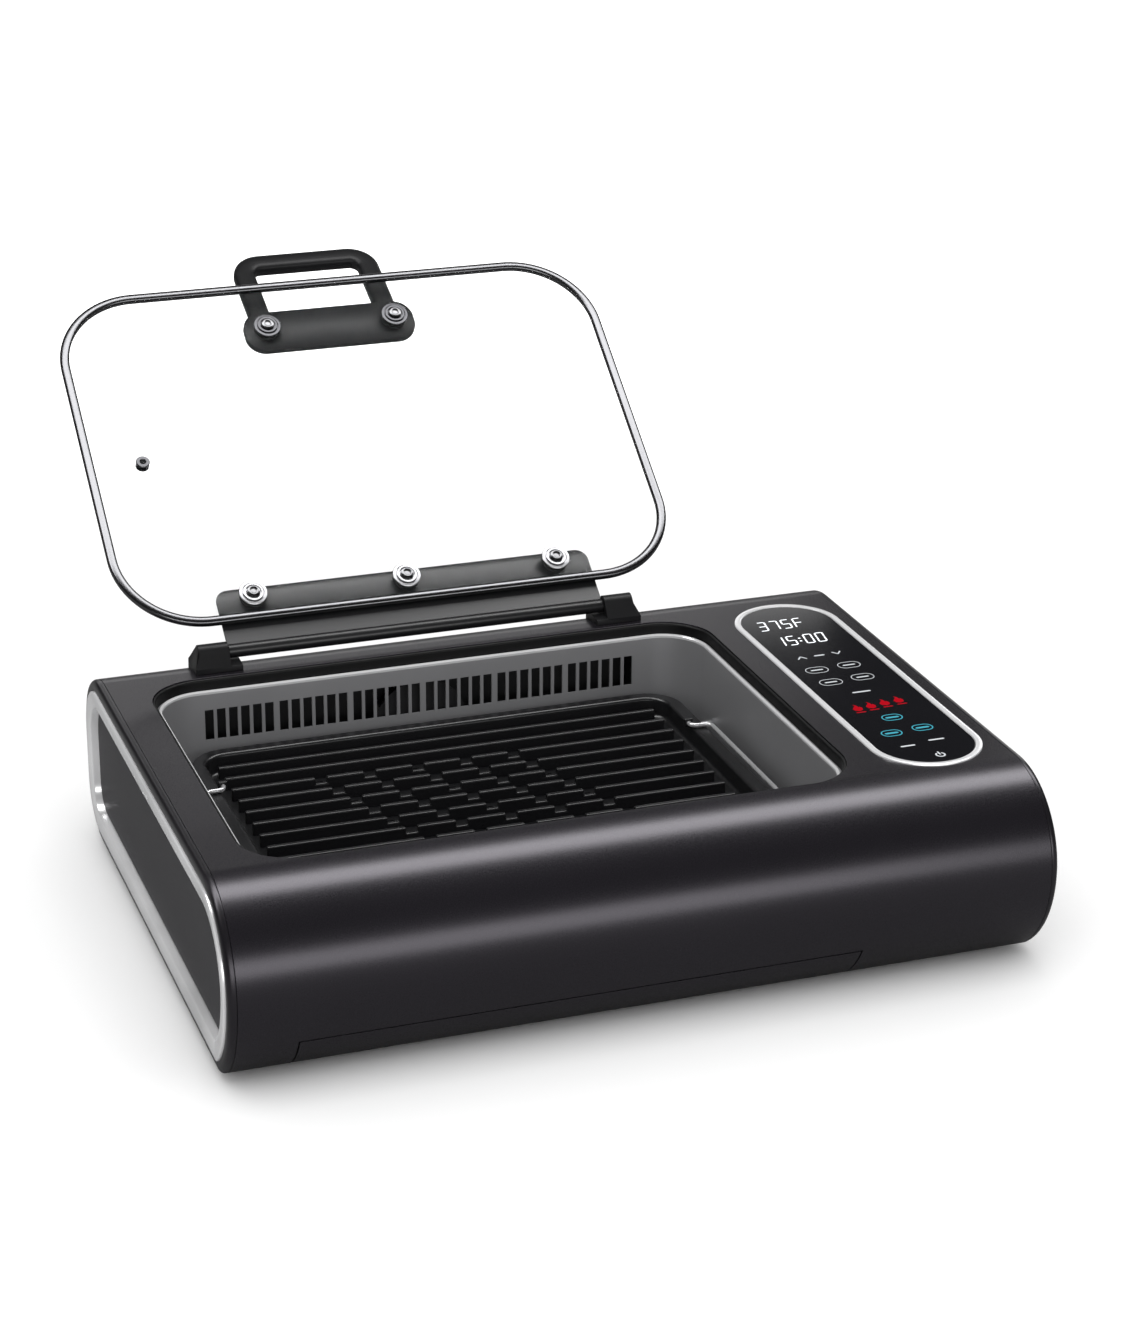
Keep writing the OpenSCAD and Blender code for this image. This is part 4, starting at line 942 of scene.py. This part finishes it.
# A block whose top is drawn in at its outer end, front and back before its edges are broken.
def hingeBlock(side):
    node = "hinge_block_" + side
    low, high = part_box(node)
    middle = (low + high) / 2
    block = softened(node, "hingeBlock" + side.capitalize())
    for vertex in block.data.vertices:
        vertex.select = vertex.co.z > middle.z
    reach = [vertex.co.x for vertex in block.data.vertices if vertex.select]
    for part in list(block.data.edges) + list(block.data.polygons):
        part.select = all(block.data.vertices[i].select for i in part.vertices)
    bpy.ops.object.mode_set(mode="EDIT")
    inner = max(reach) if side == "left" else min(reach)
    bpy.ops.transform.resize(value=hingeTop["scale"],
                             center_override=(inner, middle.y, middle.z))
    bpy.ops.object.mode_set(mode="OBJECT")
    bevelEdges(block, hingeTop["edge"], segments=6, angle=50)
    return block


def buildLid():
    buildGlass()
    buildRim()
    buildHingePlate()
    buildWashers()
    buildHandle()
    for side in ("left", "right"):
        finishPiece(hingeBlock(side), "body", handlePlastic, ["hinge_block_" + side])


buildLid()
print("lid built")

controls = {
    "width": 76 * mm,
    "depth": 294.5 * mm,
    "band": 4.5 * mm,
    "proud": 1.2 * mm,
    "glassTop": 122.6 * mm,
    "glassThick": 3.2 * mm,
}


# Loops of the control window's outline, one for each (inset, height) of a section.
def windowLoops(section):
    radius = controls["width"] / 2 - 0.02 * mm
    return rectLoops(controls["width"], controls["depth"], radius, section, (case["panelX"], 0), 28)


def buildControls():
    top, band = caseHeight + controls["proud"], controls["band"]
    glassTop = controls["glassTop"]
    seat = glassTop - controls["glassThick"]
    section = inMm([(0, -0.3), (0, 0.5), (0.25, 0.95)], 0, caseHeight) + [(0.8 * mm, top)]
    section += inMm([(-0.9, 0), (-0.35, -0.2), (0, -0.7)], band, top) + [(band, seat)]
    ring = loft("controlRing", windowLoops(section), ring=True)
    finishPiece(ring, "body", trimMetal, ["control_ring"], where=caseFrame)
    section = [(band + 0.2 * mm, seat)] + inMm([(0.2, -0.3), (0.5, 0)], band, glassTop)
    glass = loft("controlGlass", windowLoops(section))
    finishPiece(glass, "body", panelGlass, ["control_glass"], where=caseFrame)


# Lit marks on the glass, in millimetres from the middle of the case.
marks = {
    "lift": 0.06,                  # how far a mark stands above the glass
    "digitHeight": 15.5,
    "digitWidth": 5.6,
    "digitPitch": 9.0,
    "stroke": 1.1,
    "slant": 0.16,
    "readouts": [("375F", 193.4, 102.0), ("15:00", 193.6, 71.5)],
    "chevrons": [(200.0, 47.5, 1), (227.0, 48.5, -1)],
    "ovals": [(201.2, 24.0), (225.8, 25.8), (201.5, 1.3), (225.7, 3.2)],
    "tealOvals": [(214.8, -66.8), (226.4, -88.3), (203.4, -90.5)],
    "flames": [(199.3, -47.0), (209.5, -45.6), (220.2, -43.8), (231.0, -42.4)],
    "bars": [(213.5, 48.0, 6.5), (214.0, -20.5, 12.0), (204.5, -112.6, 9.0), (226.4, -108.8, 10.0)],
    "power": (218.3, -131.8),
    "powerRadius": 3.4,
    "dot": 0.8,                    # half of a dot's side, and how high the colon's dots stand
    "colon": (5.2, 10.2),
    "oval": (16.5, 10.5, 0.5),     # width, height and line
    "tealOval": (14.6, 10.0, 0.8),
    "flame": (1.25, 1.4),
}
# strokes of a digit: a top, b and c right, d bottom, e and f left, g middle
segments = {
    "0": "abcdef", "1": "bc", "3": "abcdg", "5": "acdfg", "7": "abc", "F": "aefg",
}


# A flat mark on the glass from a closed outline, with a hole if an inner outline is given.
def mark(outline, inner=None):
    low, high = controls["glassTop"] - 0.2 * mm, controls["glassTop"] + marks["lift"] * mm
    loops = [(outline, low), (outline, high)]
    if inner:
        loops += [(inner, high), (inner, low)]
    loops = [[(x * mm, y * mm, z) for x, y in points] for points, z in loops]
    return loft("mark", loops, ring=bool(inner))


def strokeMark(a, b, width):
    along = (Vector(b) - Vector(a)).normalized() * width / 2
    side = Vector((-along.y, along.x))
    a, b = Vector(a), Vector(b)
    return mark([a - along, a - side, b - side, b + along, b + side, a + side])


def digitMarks(character, x, y):
    w, h, slant = marks["digitWidth"], marks["digitHeight"], marks["slant"]
    corners = {"bl": (0, 0), "br": (w, 0), "ml": (0, h / 2), "mr": (w, h / 2), "tl": (0, h),
               "tr": (w, h)}
    corners = {key: Vector((x + u + v * slant, y + v)) for key, (u, v) in corners.items()}
    strokes = {"a": ("tl", "tr"), "b": ("tr", "mr"), "c": ("mr", "br"), "d": ("bl", "br"),
               "e": ("bl", "ml"), "f": ("ml", "tl"), "g": ("ml", "mr")}
    out = []
    for key in segments[character]:
        a, b = (corners[end] for end in strokes[key])
        gap = (b - a).normalized() * marks["stroke"] * 0.62
        out.append(strokeMark(a + gap, b - gap, marks["stroke"]))
    return out


def stadium(x, y, width, height):
    half = (width - height) / 2
    return (arcPoints(x + half, y, height / 2, -90, 90, 12)
            + arcPoints(x - half, y, height / 2, 90, 270, 12))


def ringMark(x, y, width, height, line):
    return mark(stadium(x, y, width, height), stadium(x, y, width - 2 * line, height - 2 * line))


def flameMark(x, y):
    shape = [(0, -3.6), (2.2, -2.6), (2.9, -0.4), (1.9, 1.6), (1.5, 0.6), (0.9, 3.0),
             (-0.4, 4.4), (-0.3, 2.4), (-1.6, 1.0), (-2.8, -0.6), (-2.2, -2.6)]
    wide, tall = marks["flame"]
    return joinAll([mark([(x + wide * u, y + tall * (v + 1)) for u, v in shape]),
                    strokeMark((x - 3, y - 5.6), (x + 3, y - 5.6), 1.4)], "flame")


def buildMarks():
    white, dim, teal = [], [], []
    dot, slant, pitch = marks["dot"], marks["slant"], marks["digitPitch"]
    square = ((-dot, -dot), (dot, -dot), (dot, dot), (-dot, dot))
    for text, x, y in marks["readouts"]:
        for character in text:
            if character == ":":
                white += [mark([(x + u + v * slant, y + v + w) for u, w in square])
                          for v in marks["colon"]]
                x += pitch * 0.42
            else:
                white += digitMarks(character, x, y)
                x += pitch
    for x, y, up in marks["chevrons"]:
        tip = (x, y + 2 * up)
        dim.append(strokeMark((x - 3, y - 2 * up), tip, 1.0))
        dim.append(strokeMark(tip, (x + 3, y - 2 * up), 1.0))
    for x, y in marks["ovals"]:
        dim.append(ringMark(x, y, *marks["oval"]))
        dim.append(strokeMark((x - 4, y), (x + 4, y), 1.5))
    for x, y, length in marks["bars"]:
        dim.append(strokeMark((x - length / 2, y), (x + length / 2, y), 1.7))
    x, y = marks["power"]
    arc = arcPoints(x, y, marks["powerRadius"], 120, 420, 20)
    dim.append(mark(arc + [(x + (u - x) * 0.68, y + (v - y) * 0.68) for u, v in reversed(arc)]))
    dim.append(strokeMark((x, y + 0.4), (x, y + 4.4), 1.1))
    for x, y in marks["tealOvals"]:
        teal.append(ringMark(x, y, *marks["tealOval"]))
        teal.append(strokeMark((x - 4, y), (x + 4, y), 2.2))
    red = [flameMark(x, y) for x, y in marks["flames"]]
    for name, pieces, material in (("displayDigits", white, displayWhite),
                                   ("keyMarks", dim, iconWhite),
                                   ("keyMarksTeal", teal, iconTeal),
                                   ("heatMarks", red, iconRed)):
        finishPiece(joinAll(pieces, name), "body", material, where=caseFrame)


buildControls()
buildMarks()
print("controls built")

tray = {"front": 2.2 * mm, "gap": 0.8 * mm}


def buildTray():
    half = case["seamHalf"] - tray["gap"]
    front, gap = tray["front"], tray["gap"]
    section = ((-half, 0), (half, 0), (half, front), (-half, front))
    skin = loft("trayFront", [[(case["trayX"] + x, y, z) for y, z in caseOutline(inset)]
                              for x, inset in section], ring=True)
    keep = boxAt((-1, -1, -1), (1, case["seamDepth"] - gap, case["seamHeight"] - gap), "keep")
    applyModifier(skin, "BOOLEAN", operation="INTERSECT", solver="EXACT", object=keep)
    bpy.data.objects.remove(keep)
    bevelEdges(skin, 0.7 * mm, segments=3, angle=50)
    finishPiece(skin, "tray", casePaint, ["tray_front"], weighted=True,
                where=caseFrame)
    feet = softened("feet", "rubberFeet", 0.5 * mm)
    finishPiece(feet, "body", footRubber, ["feet"])
    pan = softened("drip_tray", "dripTray", 0.5 * mm)
    finishPiece(pan, "tray", blackPaint, ["drip_tray"])


buildTray()
print("tray and feet built")

kept = [
    (casePaint, ["base_plate"]),
    (chrome, ["base_screws", "temperature_probe", "fan_shaft", "hinge_pins"]),
    (heaterSteel, ["heating_element", "fan_motor"]),
    (darkSheet, ["element_brackets", "fan_housing", "motor_bracket", "fan_impeller"]),
    (innerSheet, ["tray_rails", "basket_ears"]),
    (boardGreen, ["display_board", "power_board"]),
    (copperCoil, ["transformer"]),
    (relayBlue, ["relays"]),
    (blackPlastic, ["capacitors", "power_inlet"]),
    (brass, ["inlet_pins"]),
    (footRubber, ["lid_spacers"]),
]
for material, names in kept:
    for name in names:
        nodes[name].data.materials.clear()
        nodes[name].data.materials.append(material)

studio = {
    "floor": 0.8,                  # how much light the floor returns
    "floorMirrored": 0.26,         # the floor and the white room as metal and gloss reflect them
    "fill": 0.90,                  # the world's light on the object
    "mirrored": 0.035,
    "fadeFrom": 0.45,              # where the floor starts to turn into the white backdrop
    "fadeTo": 1.1,
    "lights": [
        # name, place, turns about X, Y and Z, size, power, and whether it lights or is mirrored
        ("softTop", (-0.3, -0.7, 2.2), (-14, 0, 0), (2.0, 2.0), 20, "lights"),
        ("overheadStrip", (0.0, 0.30, 1.45), (18, 0, 0), (3.4, 0.54), 44, "mirrored"),
        ("lowStrip", (-0.35, -2.3, 0.53), (-79, 0, 0), (2.9, 0.74), 28, "mirrored"),
        ("lowStripRight", (1.45, -2.3, 0.36), (-79, 24, 0), (0.9, 0.74), 3.5, "mirrored"),
        ("backPanel", (2.65, 2.9, 1.38), (75, 0, 0), (1.1, 1.0), 9, "mirrored"),
        ("backLeft", (0.25, 2.9, 0.92), (75, 0, 0), (2.5, 0.72), 7, "mirrored"),
        ("leftPanel", (-1.7, 1.5, 0.5), (80, 0, -48), (1.2, 0.9), 14, "mirrored"),
    ],
}


# White for the camera and behind glass, plain for light, dim where metal and gloss mirror it.
def roomLevel(tree, plain, mirrored):
    rays = addNode(tree, "LightPath")
    seen = addNode(tree, "Math", "MAXIMUM")
    level = addNode(tree, "Mix", A=plain, B=mirrored)
    white = addNode(tree, "Mix", B=1.0)
    link = tree.links.new
    link(rays.outputs["Is Camera Ray"], seen.inputs[0])
    link(rays.outputs["Is Transmission Ray"], seen.inputs[1])
    link(rays.outputs["Is Glossy Ray"], level.inputs["Factor"])
    link(level.outputs["Result"], white.inputs["A"])
    link(seen.outputs["Value"], white.inputs["Factor"])
    return white.outputs["Result"], seen.outputs["Value"]


def floorWhite():
    material, tree, shader = newMaterial("floorWhite", Roughness=1.0, Specular_IOR_Level=0.0,
                                         Emission_Color=(1, 1, 1, 1))
    level, seen = roomLevel(tree, studio["floor"], studio["floorMirrored"])
    tint = addNode(tree, "CombineColor")
    where = addNode(tree, "TexCoord")
    distance = addNode(tree, "VectorMath", "LENGTH")
    fade = addNode(tree, "MapRange", From_Min=studio["fadeFrom"], From_Max=studio["fadeTo"])
    fade.interpolation_type = "SMOOTHSTEP"
    shine = addNode(tree, "Math", "MULTIPLY")
    link = tree.links.new
    for channel in ("Red", "Green", "Blue"):
        link(level, tint.inputs[channel])
    link(tint.outputs["Color"], shader.inputs["Base Color"])
    link(where.outputs["Object"], distance.inputs[0])
    link(distance.outputs["Value"], fade.inputs["Value"])
    link(fade.outputs["Result"], shine.inputs[0])
    link(seen, shine.inputs[1])
    link(shine.outputs["Value"], shader.inputs["Emission Strength"])
    return material


def buildStudio():
    bpy.ops.mesh.primitive_plane_add(size=30)
    floor = bpy.context.object
    floor.name = "floor"
    floor.data.materials.append(floorWhite())

    world = bpy.data.worlds.new("studio")
    bpy.context.scene.world = world
    world.use_nodes = True
    background = world.node_tree.nodes["Background"]
    background.inputs["Color"].default_value = (1, 1, 1, 1)
    level, seen = roomLevel(world.node_tree, studio["fill"], studio["mirrored"])
    world.node_tree.links.new(level, background.inputs["Strength"])
    for name, (x, y, z), (tip, roll, turn), (width, depth), power, use in studio["lights"]:
        data = bpy.data.lights.new(name, "AREA")
        data.shape = "RECTANGLE"
        data.size, data.size_y = width, depth
        data.energy = power
        light = bpy.data.objects.new(name, data)
        light.location = (x, y + bodyY, z)
        light.rotation_euler = (-math.radians(tip), math.radians(roll), math.radians(turn))
        light.visible_camera = False
        light.visible_transmission = False
        light.visible_diffuse = use == "lights"
        light.visible_glossy = use == "mirrored"
        bpy.context.scene.collection.objects.link(light)
    bpy.context.scene.view_settings.view_transform = "Standard"


buildStudio()
print("studio lit")
